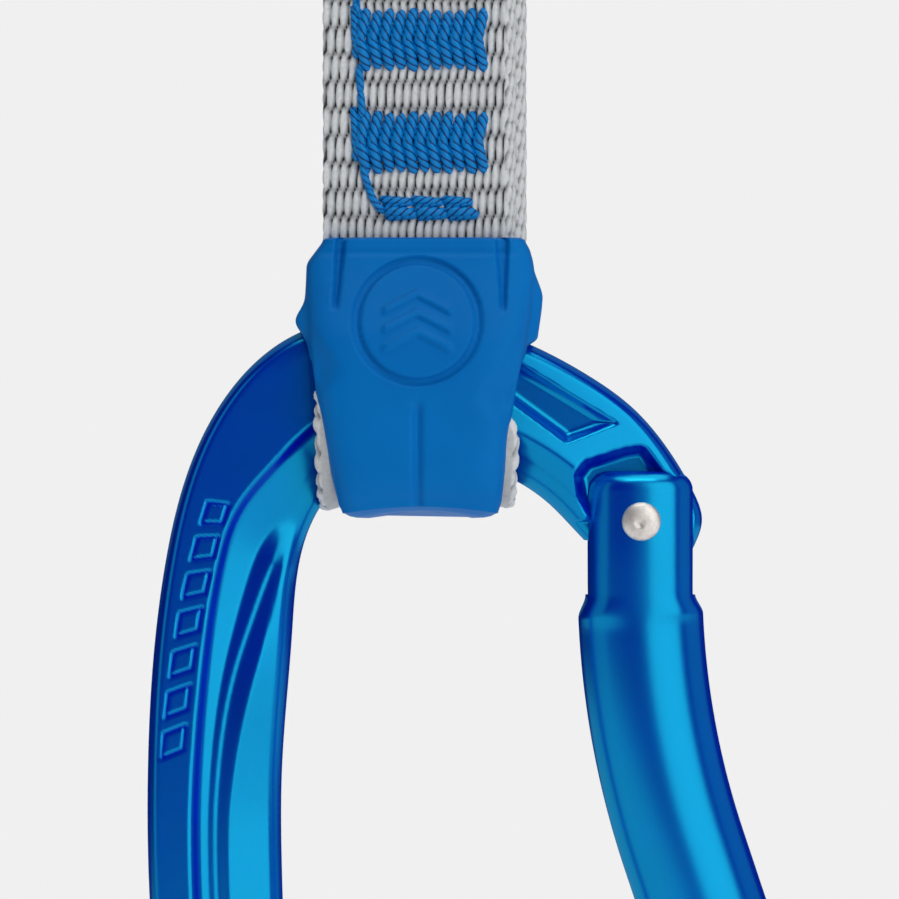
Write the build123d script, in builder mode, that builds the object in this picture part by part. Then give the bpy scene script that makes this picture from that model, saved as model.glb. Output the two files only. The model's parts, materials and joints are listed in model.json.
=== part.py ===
from build123d import *
import math
import os

# Climbing quickdraw, in millimetres.  +Z is up, +X is the side of the gates, and the front faces -Y.
# The origin is the point of the bolt-end carabiner's basket that hangs on the bolt hanger.
os.makedirs("parts", exist_ok=True)

# ---------------------------------------------------------------- driving dimensions
body_depth = 9.6            # carabiner body, front to back
body_round = 2.6            # rounding of the body's long edges
basket_depth = 80.5         # from the bar's centre to the inside of the basket
bar_gap = 99.5              # from one carabiner's bar centre to the other's

gate_pivot = (21.9, -13.1)  # rivet axis, seen from the bar's centre
gate_angle = 28.0           # opening angle
tip_lean = 10.87            # angle of the gate's tip from straight down, at the rivet
gate_length = 48.8          # rivet axis to the gate's tip
gate_depth = 10.2
gate_width = 12.5
ear_width = 10.6
ear_top = 4.8               # ears above the rivet axis
ear_bottom = 9.2            # where the gate widens, below the rivet axis
bend_start = 5.9            # where the bent gate starts to curve, below the rivet axis
bend_radius = 85.0
bend_angle = 18.4

tongue = 4.0                # thickness of the body's tongue between the gate's ears
slot = 4.3                  # slot between the ears
slot_bottom = 6.9           # below the rivet axis
rivet_r = 1.6
rivet_head_r = 1.94
rivet_dome = 0.5
fit = 0.05                  # radial running clearance
gap = 0.3                   # clearance between a gate and the body's nose

cam_r = 4.4                 # cam's low part, from the rivet axis
cam_rise = 2.0              # cam's rise, per radian of gate angle
plunger_r = 2.1
plunger_start = 6.7         # centre of the plunger's round end, below the rivet axis
plunger_length = 6.5
bore_end = 26.1
spring_wire = 0.5
spring_r = 1.75
spring_pitch = 1.45

nose_from = 8.0             # nose, as angles about the rivet from straight down
nose_to = 16.5
stem_half = 1.7
head_half = 3.2
head_low = 43.9             # nose head, as distances from the rivet axis
head_high = 46.6

web = 2.4                   # one layer of webbing
web_width = 20.5
loop_width = 17.3           # webbing where it goes round a bar
sling_x = 0.4               # centre of the sling's width
swing_drop = 0.9            # swing axis, from the bar's centre into the carabiner
swing_r = 9.4               # inside of the loose loop
flex_height = 29.75         # bend line, above the rope-end bar's centre
flex_gap = 0.3
tack_pitch = 10.25
tack_size = (13.0, 5.9)
end_tack_size = (9.3, 2.7)
thread = 0.5                # thickness of the sewn threads
thread_sink = 0.2           # how far they are pulled into the webbing
thread_fit = 0.02           # gap between the threads and the webbing
line_x = -6.0               # the running thread

body_curve_length = 60      # the body's long edges are longer than this
gate_edge_length = 14       # and the gate's are longer than this
gate_round = 3.2            # rounding of the gate's long edges
ear_core = 1.0              # how far the ears' core lies behind their cheeks
ear_step = 1.2              # height of the slope from the ears to the gate
gate_inset = 0.3            # how far the ears' core stays inside the gate's width
head_depth = 0.8            # the rivet's head inside the ear
pocket_depth = 1.4
channel_depth = 1.2
stub_r = 1.1                # plunger's stub inside the spring
stub_length = 2.0
past_tip = 2.0              # cutters and blanks run this far past the gate's tip
clear_of_part = 20.0        # length that takes a cutter clean through the webbing and the keeper
tack_count = 5
first_tack = 24.65          # above the rope-end bar's centre
lower_end_tack = 18.15
upper_end_tack = 6.6        # above the last bar tack

pivot_x, pivot_z = gate_pivot
half_body = body_depth / 2
half_gate = gate_depth / 2
half_width = gate_width / 2
half_web = web_width / 2
half_loop = loop_width / 2
bolt_z = -basket_depth
rope_z = bolt_z - bar_gap
swing_z = bolt_z + swing_drop
flex_z = rope_z + flex_height

# Carabiner faces: local x is +X, and local y runs from the basket to the bar.
rope_face = Plane(origin=(0, 0, rope_z), x_dir=(1, 0, 0), z_dir=(0, -1, 0))
bolt_face = Plane(origin=(0, 0, bolt_z), x_dir=(1, 0, 0), z_dir=(0, 1, 0))
side_face = Plane(origin=(sling_x, 0, 0), x_dir=(0, 1, 0), z_dir=(1, 0, 0))
front_face = Plane(origin=(0, 0, 0), x_dir=(1, 0, 0), z_dir=(0, -1, 0))


# ---------------------------------------------------------------- helpers
def finish(name, label):
    """Labels one finished piece and writes it."""
    name.part.label = label
    export_step(name.part, f"parts/{label}.step")
    return name.part


def about_pivot(radius, angle):
    """Point at a distance and an angle from the rivet axis; straight down is 0, towards +X is positive."""
    turn = math.radians(angle)
    return (pivot_x + radius * math.sin(turn), pivot_z - radius * math.cos(turn))


def pivot_plane(face, lean):
    """Plane of the carabiner's face, centred on the rivet, with its local -y along the gate."""
    centre = face.from_local_coords(Vector(pivot_x, pivot_z, 0))
    turn = math.radians(lean)
    across = face.from_local_coords(Vector(math.cos(turn), math.sin(turn), 0)) - face.origin
    return Plane(origin=centre, x_dir=across, z_dir=face.z_dir)


def radial_plane(face, angle):
    """Plane through the rivet axis: local x points away from it at an angle, local y runs along it."""
    centre = face.from_local_coords(Vector(pivot_x, pivot_z, 0))
    turn = math.radians(angle)
    away = face.from_local_coords(Vector(math.sin(turn), -math.cos(turn), 0)) - face.origin
    return Plane(origin=centre, x_dir=away, z_dir=away.cross(face.z_dir))


def rivet_axis(face):
    """Axis of the rivet."""
    return Axis(face.from_local_coords(Vector(pivot_x, pivot_z, 0)), face.z_dir)


def face_edges(part, face, reach):
    """Edges of the two flat faces that lie `reach` in front of and behind a carabiner's middle plane."""
    chosen = ShapeList()
    for flat in part.faces().filter_by(GeomType.PLANE):
        place = face.to_local_coords(flat.center())
        if abs(abs(place.Z) - reach) < 0.01:
            chosen.extend(flat.outer_wire().edges())
    return chosen


# ---------------------------------------------------------------- carabiner bodies
def make_body(face, lean):
    """Body with its spine channel, hinge relief, tongue with cam, rivet hole and T-shaped nose."""
    with BuildPart() as body:
        with BuildSketch(face):
            with BuildLine():
                outer = Spline(
                    (27.4, -15.4), (25.6, -7), (20.1, -1), (10.7, 4.5), (-1, 7.5), (-13.6, 5), (-21, -3),
                    (-25.5, -17), (-27.3, -38), (-27, -53), (-23.6, -72), (-14, -86.5), (0, -92.5),
                    (16, -90.8), (30.5, -81.8), (38, -68), (36.8, -57.6),
                )
                inner = Spline(
                    (24.2, -60), (25, -66.5), (21.5, -74), (11, -79.3), (0, -80.5), (-8, -75.5),
                    (-12.6, -64), (-13.9, -48), (-13.9, -38), (-12.9, -24.5), (-10.8, -13), (-7.2, -8.6),
                    (0, -6.6), (7.6, -8.2), (13, -11.6), (15.2, -13.5),
                )
                Line(outer @ 1, inner @ 0)
                toe = Line(inner @ 1, (16.2, -14.8))
                cam_angles = (48, 36, 24, 12, 0)
                rise = [about_pivot(cam_r + cam_rise * math.radians(a), lean - a) for a in cam_angles]
                Line(toe @ 1, rise[0])
                cam = Spline(*rise)
                low = ThreePointArc(cam @ 1, about_pivot(cam_r, 22), about_pivot(cam_r, 45))
                Line(low @ 1, outer @ 0)
            make_face()
        extrude(amount=half_body, both=True)
        long_edges = [e for e in face_edges(body.part, face, half_body) if e.length > body_curve_length]
        fillet(long_edges, body_round)
        for side in (1, -1):
            # hinge relief, down to the tongue, for the gate's ears
            with BuildSketch(face.offset(side * tongue / 2)):
                with BuildLine():
                    Polyline(
                        (15.7, -11.4), (15.1, -9.4), (15.7, -7.2), (18.6, -5.85), (21.7, -5.3), (24.6, -6.2),
                        (31, -7.6), (31, -20), (13.5, -20), (13.5, -14.6), close=True,
                    )
                make_face()
            extrude(amount=side * body_depth, mode=Mode.SUBTRACT)
            # shoulder pocket
            with BuildSketch(face.offset(side * (half_body - pocket_depth))):
                with BuildLine():
                    Polyline((10.5, 2), (19.5, -3.4), (19, -4.2), (14.2, -5.6), (9.8, -1.6), close=True)
                make_face()
            extrude(amount=side * body_depth, mode=Mode.SUBTRACT)
            # channel down the spine
            with BuildSketch(face.offset(side * (half_body - channel_depth))):
                with BuildLine():
                    left = Spline(
                        (-15, -1.5), (-19.5, -12), (-21.8, -27), (-22.4, -43), (-21.5, -58), (-18.4, -72),
                    )
                    right = Spline(
                        (-14.6, -70), (-16.4, -58), (-17.2, -43), (-16.8, -27), (-14.8, -12), (-12.5, -4),
                    )
                    Line(left @ 1, right @ 0)
                    Line(right @ 1, left @ 0)
                make_face()
            extrude(amount=side * body_depth, mode=Mode.SUBTRACT)
        # end of the body, round about the rivet, under the gate's tip
        with BuildSketch(face):
            with Locations(gate_pivot):
                Circle(gate_length + gap)
            with Locations((30, -57)):
                Rectangle(26, 16, mode=Mode.INTERSECT)
        extrude(amount=body_depth, both=True, mode=Mode.SUBTRACT)
        with BuildSketch(radial_plane(face, nose_from)):
            with Locations(((head_high + gate_length + past_tip) / 2, 0)):
                Rectangle(gate_length + past_tip - head_high + 0.4, 2 * stem_half)
            with Locations(((head_low + head_high) / 2, 0)):
                Rectangle(head_high - head_low, 2 * head_half)
        revolve(axis=rivet_axis(face), revolution_arc=nose_to - nose_from)
        with BuildSketch(face):
            with Locations(gate_pivot):
                Circle(rivet_r + fit)
        extrude(amount=body_depth, both=True, mode=Mode.SUBTRACT)
    return body


# ---------------------------------------------------------------- gates
def on_bend(offset, share):
    """Point of the bent gate: `offset` across it, and a share of the way round its bend."""
    turn = math.radians(bend_angle) * share
    reach = bend_radius - offset
    return (bend_radius - reach * math.cos(turn), -bend_start - reach * math.sin(turn))


def make_gate(face, lean, bent):
    """Gate with its two ears, plunger bore and the T-shaped recess that hides the nose."""
    own = pivot_plane(face, lean)
    with BuildPart() as gate:
        with BuildSketch(own):
            with BuildLine():
                if bent:
                    turn = math.radians(bend_angle)
                    run = Vector(math.sin(turn), -math.cos(turn)) * 14
                    shares = (0, 0.5, 1)
                    left_arc = ThreePointArc(*[on_bend(-half_width, share) for share in shares])
                    right_arc = ThreePointArc(*[on_bend(half_width, share) for share in shares])
                    left_end = left_arc @ 1 + run
                    right_end = right_arc @ 1 + run
                    Line(left_arc @ 0, right_arc @ 0)
                    Line(left_arc @ 1, left_end)
                    Line(right_arc @ 1, right_end)
                    Line(left_end, right_end)
                else:
                    Polyline(
                        (-half_width, -bend_start), (half_width, -bend_start),
                        (half_width, -gate_length - past_tip), (-half_width, -gate_length - past_tip),
                        close=True,
                    )
            make_face()
        extrude(amount=half_gate, both=True)
        long_edges = [e for e in face_edges(gate.part, face, half_gate) if e.length > gate_edge_length]
        fillet(long_edges, gate_round)
        with BuildSketch(own):
            Rectangle(40, 2 * ear_bottom)
        extrude(amount=gate_depth, both=True, mode=Mode.SUBTRACT)
        # ears: a core that slopes out to the gate's width, and the cheeks over it
        with BuildSketch(own):
            with BuildLine():
                Polyline(
                    (-ear_width / 2, ear_top), (ear_width / 2, ear_top),
                    (ear_width / 2, -ear_bottom + ear_step), (half_width - gate_inset, -ear_bottom),
                    (half_width - gate_inset, -ear_bottom - 3),
                    (-half_width + gate_inset, -ear_bottom - 3), (-half_width + gate_inset, -ear_bottom),
                    (-ear_width / 2, -ear_bottom + ear_step), close=True,
                )
            make_face()
        extrude(amount=half_gate - ear_core, both=True)
        with BuildSketch(own):
            with Locations((0, (ear_top - ear_bottom) / 2)):
                RectangleRounded(ear_width - 2, ear_top + ear_bottom, 0.9)
        extrude(amount=half_gate, both=True)
        # round tip, slot between the ears, bore
        with BuildSketch(own):
            Circle(gate_length)
        extrude(amount=gate_depth, both=True, mode=Mode.INTERSECT)
        with BuildSketch(own):
            with Locations((0, (20 - slot_bottom) / 2)):
                Rectangle(40, 20 + slot_bottom)
        extrude(amount=slot / 2, both=True, mode=Mode.SUBTRACT)
        bore_plane = Plane(origin=own.origin, x_dir=own.z_dir, z_dir=-own.y_dir)
        with BuildSketch(bore_plane.offset(slot_bottom - 1)):
            Circle(plunger_r + 2 * fit)
        extrude(amount=bore_end - slot_bottom + 1, mode=Mode.SUBTRACT)
        with BuildSketch(own):
            Circle(rivet_r + fit / 2)
        extrude(amount=gate_depth, both=True, mode=Mode.SUBTRACT)
        for side in (1, -1):
            with BuildSketch(own.offset(side * (half_gate - head_depth))):
                Circle(rivet_head_r + fit / 2)
            extrude(amount=side * 2, mode=Mode.SUBTRACT)
        # T-shaped recess, open on the outer side
        with BuildSketch(radial_plane(face, nose_from - 0.1)):
            with Locations(((head_high + gate_length + past_tip) / 2, 0)):
                Rectangle(gate_length + past_tip - head_high, 2 * (stem_half + gap))
            with Locations(((head_low + head_high) / 2, 0)):
                Rectangle(head_high - head_low + 2 * gap, 2 * (head_half + gap))
        revolve(axis=rivet_axis(face), revolution_arc=20, mode=Mode.SUBTRACT)
    return gate


def make_rivet(face):
    """Rivet with a countersunk, domed head at each end."""
    own = pivot_plane(face, 0)
    shoulder = half_gate - head_depth
    with BuildPart() as rivet:
        with BuildSketch(own):
            Circle(rivet_r)
        extrude(amount=shoulder, both=True)
        for side in (1, -1):
            with BuildSketch(own.offset(side * shoulder)):
                Circle(rivet_head_r)
            extrude(amount=side * (head_depth + rivet_dome))
        rims = [
            e for e in rivet.edges().filter_by(GeomType.CIRCLE)
            if abs(own.to_local_coords(e.center()).Z) > half_gate and e.radius > rivet_r
        ]
        fillet(rims, rivet_dome - 0.02)
    return rivet


def make_plunger(face, lean):
    """Plunger with a round end on the cam and a stub inside the spring."""
    own = pivot_plane(face, lean)
    end = plunger_start + plunger_length
    with BuildPart() as plunger:
        with BuildSketch(own):
            with BuildLine():
                nose = ThreePointArc(
                    (0, -plunger_start + plunger_r),
                    (plunger_r * math.sin(math.pi / 4), -plunger_start + plunger_r * math.cos(math.pi / 4)),
                    (plunger_r, -plunger_start),
                )
                Polyline(
                    nose @ 1, (plunger_r, -end), (stub_r, -end), (stub_r, -end - stub_length),
                    (0, -end - stub_length), nose @ 0,
                )
            make_face()
        revolve(axis=Axis(own.origin, own.y_dir))
    return plunger


def make_spring(face, lean):
    """Return spring, between the plunger's shoulder and the end of the bore."""
    own = pivot_plane(face, lean)
    low = bore_end - spring_wire / 2 - 0.05
    high = plunger_start + plunger_length + spring_wire / 2 + 0.05
    foot = own.from_local_coords(Vector(0, -low, 0))
    with BuildPart() as spring:
        with BuildLine():
            coil = Helix(spring_pitch, low - high, spring_r, center=foot, direction=own.y_dir)
        with BuildSketch(Plane(origin=coil @ 0, z_dir=coil % 0)):
            Circle(spring_wire / 2)
        sweep(is_frenet=True)
    return spring


for place, face, lean, bent in (("rope", rope_face, 0.0, True), ("bolt", bolt_face, tip_lean, False)):
    carabiner_body = make_body(face, lean)
    finish(carabiner_body, f"{place}_carabiner_body")
    finish(make_gate(face, lean, bent), f"{place}_gate")
    finish(make_rivet(face), f"{place}_gate_rivet")
    finish(make_plunger(face, lean), f"{place}_gate_plunger")
    finish(make_spring(face, lean), f"{place}_gate_spring")
    if place == "rope":
        rope_body = carabiner_body.part


# ---------------------------------------------------------------- webbing
tacks = [rope_z + first_tack + i * tack_pitch for i in range(tack_count)]     # from the rope end up
end_tacks = (rope_z + lower_end_tack, tacks[-1] + upper_end_tack)


def tack_seats(places):
    """Cutter for the shallow seats of the bar tacks, on both sides of the webbing."""
    with BuildPart() as seats:
        for middle, size in places:
            for side in (1, -1):
                with BuildSketch(front_face.offset(side * (web - thread_sink))):
                    with Locations((0, middle)):
                        Rectangle(*size)
                extrude(amount=side * web)
    return seats.part


with BuildPart() as sling:
    with BuildSketch(side_face):
        with Locations((0, swing_z)):
            Circle(swing_r + web)
        with Locations((0, end_tacks[1] + 1)):
            Rectangle(2 * web, 4)
        make_hull()
        with Locations((0, (end_tacks[1] + flex_z) / 2)):
            Rectangle(2 * web, end_tacks[1] - flex_z)
        with Locations((0, flex_z)):
            Circle(web)
    extrude(amount=web_width, both=True)
    with BuildSketch(side_face):
        with Locations((0, swing_z)):
            Circle(swing_r)
        with Locations((0, end_tacks[1] + 4)):
            Circle(0.3)
        make_hull()
    extrude(amount=web_width, both=True, mode=Mode.SUBTRACT)
    with BuildSketch(front_face):
        with BuildLine():
            Polyline(
                (sling_x - half_web, flex_z - 5), (sling_x + half_web, flex_z - 5),
                (sling_x + half_web, swing_z - 16),
                (half_loop, swing_z - 12.5), (half_loop, swing_z + 15), (-half_loop, swing_z + 15),
                (-half_loop, swing_z - 12.5), (sling_x - half_web, swing_z - 16), close=True,
            )
        make_face()
    extrude(amount=clear_of_part, both=True, mode=Mode.INTERSECT)
    upper_tacks = [(z, tack_size) for z in tacks[1:]] + [(end_tacks[1], end_tack_size)]
    add(tack_seats(upper_tacks), mode=Mode.SUBTRACT)
finish(sling, "sling_webbing")

# Loop outlines from the side: the webbing's outside and its inside round the bar.
loop_top = rope_z + 15.0
leg_top = rope_z + 5.0
with BuildPart() as loop_outside:
    with BuildSketch(side_face):
        with BuildLine():
            Polyline(
                (-web, flex_z), (-web, loop_top), (-half_body - web, leg_top), (-half_body - web, rope_z - 14),
                (half_body + web, rope_z - 14), (half_body + web, leg_top), (web, loop_top), (web, flex_z),
                close=True,
            )
        make_face()
    extrude(amount=web_width, both=True)
    with BuildSketch(front_face):
        with BuildLine():
            bottom = Spline(*[(x, z + rope_z) for x, z in ((-8.6, -12.2), (-4, -9.5), (0, -9), (8.7, -11.3))])
            Polyline(
                bottom @ 1, (10.3, rope_z - 2), (sling_x + half_web, rope_z + 4), (sling_x + half_web, flex_z),
                (sling_x - half_web, flex_z), (sling_x - half_web, rope_z + 4), (-10.6, rope_z), bottom @ 0,
            )
        make_face()
    extrude(amount=clear_of_part, both=True, mode=Mode.INTERSECT)

with BuildPart() as rope_loop:
    add(loop_outside.part)
    with BuildSketch(side_face):
        with BuildLine():
            Polyline(
                (0, loop_top - 1), (-half_body - 0.02, leg_top), (-half_body - 0.02, rope_z - 3),
                (half_body + 0.02, rope_z - 3), (half_body + 0.02, leg_top), close=True,
            )
        make_face()
    extrude(amount=web_width, both=True, mode=Mode.SUBTRACT)
    with BuildSketch(side_face):
        with Locations((0, flex_z)):
            Circle(web + flex_gap)
    extrude(amount=web_width, both=True, mode=Mode.SUBTRACT)
    add(rope_body, mode=Mode.SUBTRACT)
    add(tack_seats([(tacks[0], tack_size), (end_tacks[0], end_tack_size)]), mode=Mode.SUBTRACT)
finish(rope_loop, "rope_loop_webbing")

with BuildPart() as keeper:
    with BuildSketch(front_face):
        with BuildLine():
            front_outline = (
                (-9.5, 15), (10.7, 14.4), (11.7, 11), (12, 8), (11.7, 4.7), (8.6, -12.2), (0, -11.6),
                (-8.1, -12.2), (-11.3, 4), (-12.2, 7), (-11.5, 12.5),
            )
            Polyline(*[(x, z + rope_z) for x, z in front_outline], close=True)
        make_face()
    extrude(amount=12, both=True)
    with BuildSketch(side_face):
        with BuildLine():
            side_outline = (
                (-4.5, 16), (4.5, 16), (5, 12.5), (9, 5), (9, -8), (5.5, -13), (-5.5, -13), (-9, -8), (-9, 5),
                (-5, 12.5),
            )
            Polyline(*[(y, z + rope_z) for y, z in side_outline], close=True)
        make_face()
    extrude(amount=clear_of_part, both=True, mode=Mode.INTERSECT)
    add(loop_outside.part, mode=Mode.SUBTRACT)
    add(rope_body, mode=Mode.SUBTRACT)
finish(keeper, "keeper")


# ---------------------------------------------------------------- sewing
def make_tack(middle, size):
    """Bar tack: a pad of thread on each side of the webbing."""
    with BuildPart() as tack:
        for side in (1, -1):
            with BuildSketch(front_face.offset(side * (web - thread_sink + thread_fit / 2))):
                with Locations((0, middle)):
                    Rectangle(size[0] - 2 * thread_fit, size[1] - 2 * thread_fit)
            extrude(amount=side * thread)
    return tack


for number, middle in enumerate(tacks, start=1):
    finish(make_tack(middle, tack_size), f"stitch_bar_{number}")
finish(make_tack(end_tacks[0], end_tack_size), "stitch_end_lower")
finish(make_tack(end_tacks[1], end_tack_size), "stitch_end_upper")


def make_line(starts):
    """Running thread on the front, from one tack to the next, in several lengths."""
    with BuildPart() as line:
        for low, high in starts:
            with BuildSketch(front_face.offset(web + thread_fit)):
                with Locations((line_x, (low + high) / 2)):
                    Rectangle(thread, high - low)
            extrude(amount=thread / 2)
    return line


half_tack = tack_size[1] / 2 + 0.1
finish(make_line([(end_tacks[0] - 1, tacks[0] - half_tack)]), "stitch_line_lower")
spans = [(a + half_tack, b - half_tack) for a, b in zip(tacks[1:-1], tacks[2:])]
finish(make_line(spans), "stitch_line_upper")
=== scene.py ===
import json
import logging
import math
from dataclasses import dataclass, field
from enum import Enum
from typing import Callable, Sequence

import bmesh
import bpy
import numpy as np
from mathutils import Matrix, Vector


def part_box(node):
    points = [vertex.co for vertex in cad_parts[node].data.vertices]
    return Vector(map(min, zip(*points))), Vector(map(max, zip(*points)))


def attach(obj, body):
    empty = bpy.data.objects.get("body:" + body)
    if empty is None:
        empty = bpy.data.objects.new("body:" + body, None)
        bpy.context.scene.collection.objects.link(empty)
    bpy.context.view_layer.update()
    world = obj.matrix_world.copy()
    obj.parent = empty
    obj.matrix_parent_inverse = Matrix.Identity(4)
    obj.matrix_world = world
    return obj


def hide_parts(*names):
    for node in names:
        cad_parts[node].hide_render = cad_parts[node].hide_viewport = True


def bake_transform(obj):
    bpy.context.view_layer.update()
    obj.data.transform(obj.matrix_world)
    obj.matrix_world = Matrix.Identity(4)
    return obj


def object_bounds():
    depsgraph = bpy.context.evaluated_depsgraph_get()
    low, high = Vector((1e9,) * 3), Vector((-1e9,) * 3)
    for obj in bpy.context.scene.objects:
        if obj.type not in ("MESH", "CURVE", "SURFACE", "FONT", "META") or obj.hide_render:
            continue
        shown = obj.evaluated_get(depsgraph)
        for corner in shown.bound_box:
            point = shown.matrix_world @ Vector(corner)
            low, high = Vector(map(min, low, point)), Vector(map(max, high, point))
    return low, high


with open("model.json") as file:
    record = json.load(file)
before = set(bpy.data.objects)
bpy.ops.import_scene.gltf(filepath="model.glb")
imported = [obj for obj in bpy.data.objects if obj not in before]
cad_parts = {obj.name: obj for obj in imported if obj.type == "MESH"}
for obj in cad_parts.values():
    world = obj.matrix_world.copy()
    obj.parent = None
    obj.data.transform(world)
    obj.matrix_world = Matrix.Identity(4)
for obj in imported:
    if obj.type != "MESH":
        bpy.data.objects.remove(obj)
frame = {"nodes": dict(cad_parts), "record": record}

Colour = tuple[float, float, float]
MM = 0.001
LOG = logging.getLogger("quickdraw")
CAD_BOX = [list(corner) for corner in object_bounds()]


# ------------------------------------------------------------------ places read from the frame
def joint_place(name: str) -> np.ndarray:
    """Place of a hinge in millimetres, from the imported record.

    Args:
        name: the joint's name in the record.

    Returns:
        x, y and z in millimetres.
    """
    for joint in frame["record"]["behaviour"]["joints"]:
        if joint["name"] == name:
            return np.array(joint["pos_m"]) / MM
    raise KeyError(name)


PIVOT_BELOW_BAR = 13.1
PIVOT = (float(joint_place("rope_gate_hinge")[0]), -PIVOT_BELOW_BAR)
ROPE_Z = float(joint_place("rope_gate_hinge")[2]) + PIVOT_BELOW_BAR
BOLT_Z = float(joint_place("bolt_gate_hinge")[2]) - PIVOT_BELOW_BAR
SWING_Z = float(joint_place("bolt_swing")[2])


class End(Enum):
    """The two ends of the quickdraw."""

    ROPE = "rope"
    BOLT = "bolt"


@dataclass(frozen=True)
class Seat:
    """How a carabiner sits in the frame: the rope end hangs down, the bolt end is turned over about X."""

    end: End

    @property
    def body(self) -> str:
        """Body that the carabiner rides on."""
        return "rope_end" if self.end is End.ROPE else "bolt_carabiner"

    def place(self, points: np.ndarray) -> np.ndarray:
        """Moves points from the carabiner's own millimetres into the frame.

        Args:
            points: array whose last axis is x, y, z, measured from the bar's centre.

        Returns:
            The same points in millimetres in the frame.
        """
        out = np.array(points, dtype=float)
        if self.end is End.ROPE:
            out[..., 2] += ROPE_Z
        else:
            out[..., 1] *= -1
            out[..., 2] = BOLT_Z - out[..., 2]
        return out


# ------------------------------------------------------------------ small mesh tools
def about_rivet(angle: float, profile: Sequence[tuple[float, float]]) -> list[tuple[float, float, float]]:
    """Turns (distance, depth) pairs into points at an angle about the rivet; straight down is 0."""
    return [(PIVOT[0] + r * math.sin(angle), y, PIVOT[1] - r * math.cos(angle)) for r, y in profile]


def bend_at_flex(obj: bpy.types.Object) -> None:
    """Bakes a piece's place into its mesh and leaves it on no body; it does not follow the sling's bend."""
    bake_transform(obj)


def make_object(
    name: str, points: np.ndarray, faces: Sequence[Sequence[int]], lift: np.ndarray | None = None
) -> bpy.types.Object:
    """Makes a smooth-shaded object.

    Args:
        name: the object's name.
        points: vertices in millimetres.
        faces: vertex numbers of each face.
        lift: value per vertex that the finishes turn into painted shade: for a fabric, how far each vertex
            stands out of its gaps, from 0 to 1; for the carabiner body, how much its reflection is shaded.

    Returns:
        The new object, linked to the scene.
    """
    mesh = bpy.data.meshes.new(name)
    mesh.from_pydata((np.asarray(points) * MM).tolist(), [], faces)
    mesh.shade_smooth()
    if lift is not None:
        # the lift attribute carries the painted shade to the materials
        attribute = mesh.attributes.new("lift", "FLOAT", "POINT")
        attribute.data.foreach_set("value", lift.astype(np.float32).ravel())
    obj = bpy.data.objects.new(name, mesh)
    bpy.context.scene.collection.objects.link(obj)
    return obj


def tube_faces(rings: int, around: int, first: int = 0, caps: bool = True) -> list[tuple[int, ...]]:
    """Faces of a closed tube whose rings follow one another in the vertex list.

    Args:
        rings: number of rings.
        around: vertices in each ring.
        first: number of the first vertex.
        caps: closes both ends with one face each.

    Returns:
        Vertex numbers of each face.
    """
    row = np.arange(rings - 1)[:, None] * around
    col = np.arange(around)[None, :]
    nxt = (col + 1) % around
    quads = np.stack([row + col, row + nxt, row + around + nxt, row + around + col], axis=-1)
    quads = quads.reshape(-1, 4) + first
    faces = [tuple(q) for q in quads.tolist()]
    if caps:
        faces.append(tuple(range(first + around - 1, first - 1, -1)))
        last = first + (rings - 1) * around
        faces.append(tuple(range(last, last + around)))
    return faces


def tube_object(name: str, rings: np.ndarray) -> bpy.types.Object:
    """Makes one closed tube from an array of rings (ring, point, xyz) in millimetres."""
    count, around = rings.shape[:2]
    return make_object(name, rings.reshape(-1, 3), tube_faces(count, around))


def join_tubes(name: str, tubes: Sequence[tuple[np.ndarray, np.ndarray]]) -> bpy.types.Object:
    """Makes one object out of several closed tubes.

    Args:
        name: the object's name.
        tubes: pairs of rings (ring, point, xyz) in millimetres and their lift (ring, point).

    Returns:
        The new object.
    """
    faces: list[tuple[int, ...]] = []
    first = 0
    for rings, _ in tubes:
        count, around = rings.shape[:2]
        faces += tube_faces(count, around, first)
        first += count * around
    points = np.concatenate([rings.reshape(-1, 3) for rings, _ in tubes])
    lift = np.concatenate([rise.ravel() for _, rise in tubes])
    return make_object(name, points, faces, lift)


def face_outward(obj: bpy.types.Object) -> None:
    """Turns every closed shell of an object so that its faces look outward.

    Args:
        obj: the object, made of closed shells.
    """
    work = bmesh.new()
    work.from_mesh(obj.data)
    bmesh.ops.recalc_face_normals(work, faces=work.faces)
    work.to_mesh(obj.data)
    work.free()
    obj.data.shade_smooth()


def cut(obj: bpy.types.Object, cutter: bpy.types.Object) -> None:
    """Takes one closed solid away from another, and deletes the cutter.

    Args:
        obj: the solid to cut.
        cutter: the solid to take away, which is deleted.
    """
    face_outward(cutter)
    modifier = obj.modifiers.new("cut", "BOOLEAN")
    modifier.operation = "DIFFERENCE"
    modifier.solver = "EXACT"
    modifier.object = cutter
    graph = bpy.context.evaluated_depsgraph_get()
    mesh = bpy.data.meshes.new_from_object(obj.evaluated_get(graph))
    obj.modifiers.clear()
    old = obj.data
    obj.data = mesh
    bpy.data.meshes.remove(old)
    bpy.data.objects.remove(cutter)
    obj.data.shade_smooth()
    obj.data.set_sharp_from_angle(angle=math.radians(38))


def smooth_step(low: float, high: float, value: np.ndarray) -> np.ndarray:
    """Rises smoothly from 0 at low to 1 at high."""
    share = np.clip((value - low) / (high - low), 0.0, 1.0)
    return share * share * (3 - 2 * share)


def ease_out(low: float, high: float, value: np.ndarray) -> np.ndarray:
    """Rises from 0 at low to 1 at high, steeply first and then levelling off."""
    share = np.clip((value - low) / (high - low), 0.0, 1.0)
    return 1 - (1 - share) ** 2


def blurred(values: np.ndarray, width: int, axis: int = 0) -> np.ndarray:
    """Rounds a table's kinks with a running average of width steps, run twice.

    Args:
        values: the table.
        width: how many steps to average, an odd number.
        axis: the axis to average along.

    Returns:
        A table of the same shape.
    """
    kernel = np.ones(width) / width
    for _ in range(2):
        pad = [(0, 0)] * values.ndim
        pad[axis] = (width // 2, width - 1 - width // 2)
        padded = np.pad(values, pad, mode="edge")
        values = np.apply_along_axis(lambda line: np.convolve(line, kernel, mode="valid"), axis, padded)
    return values


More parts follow.
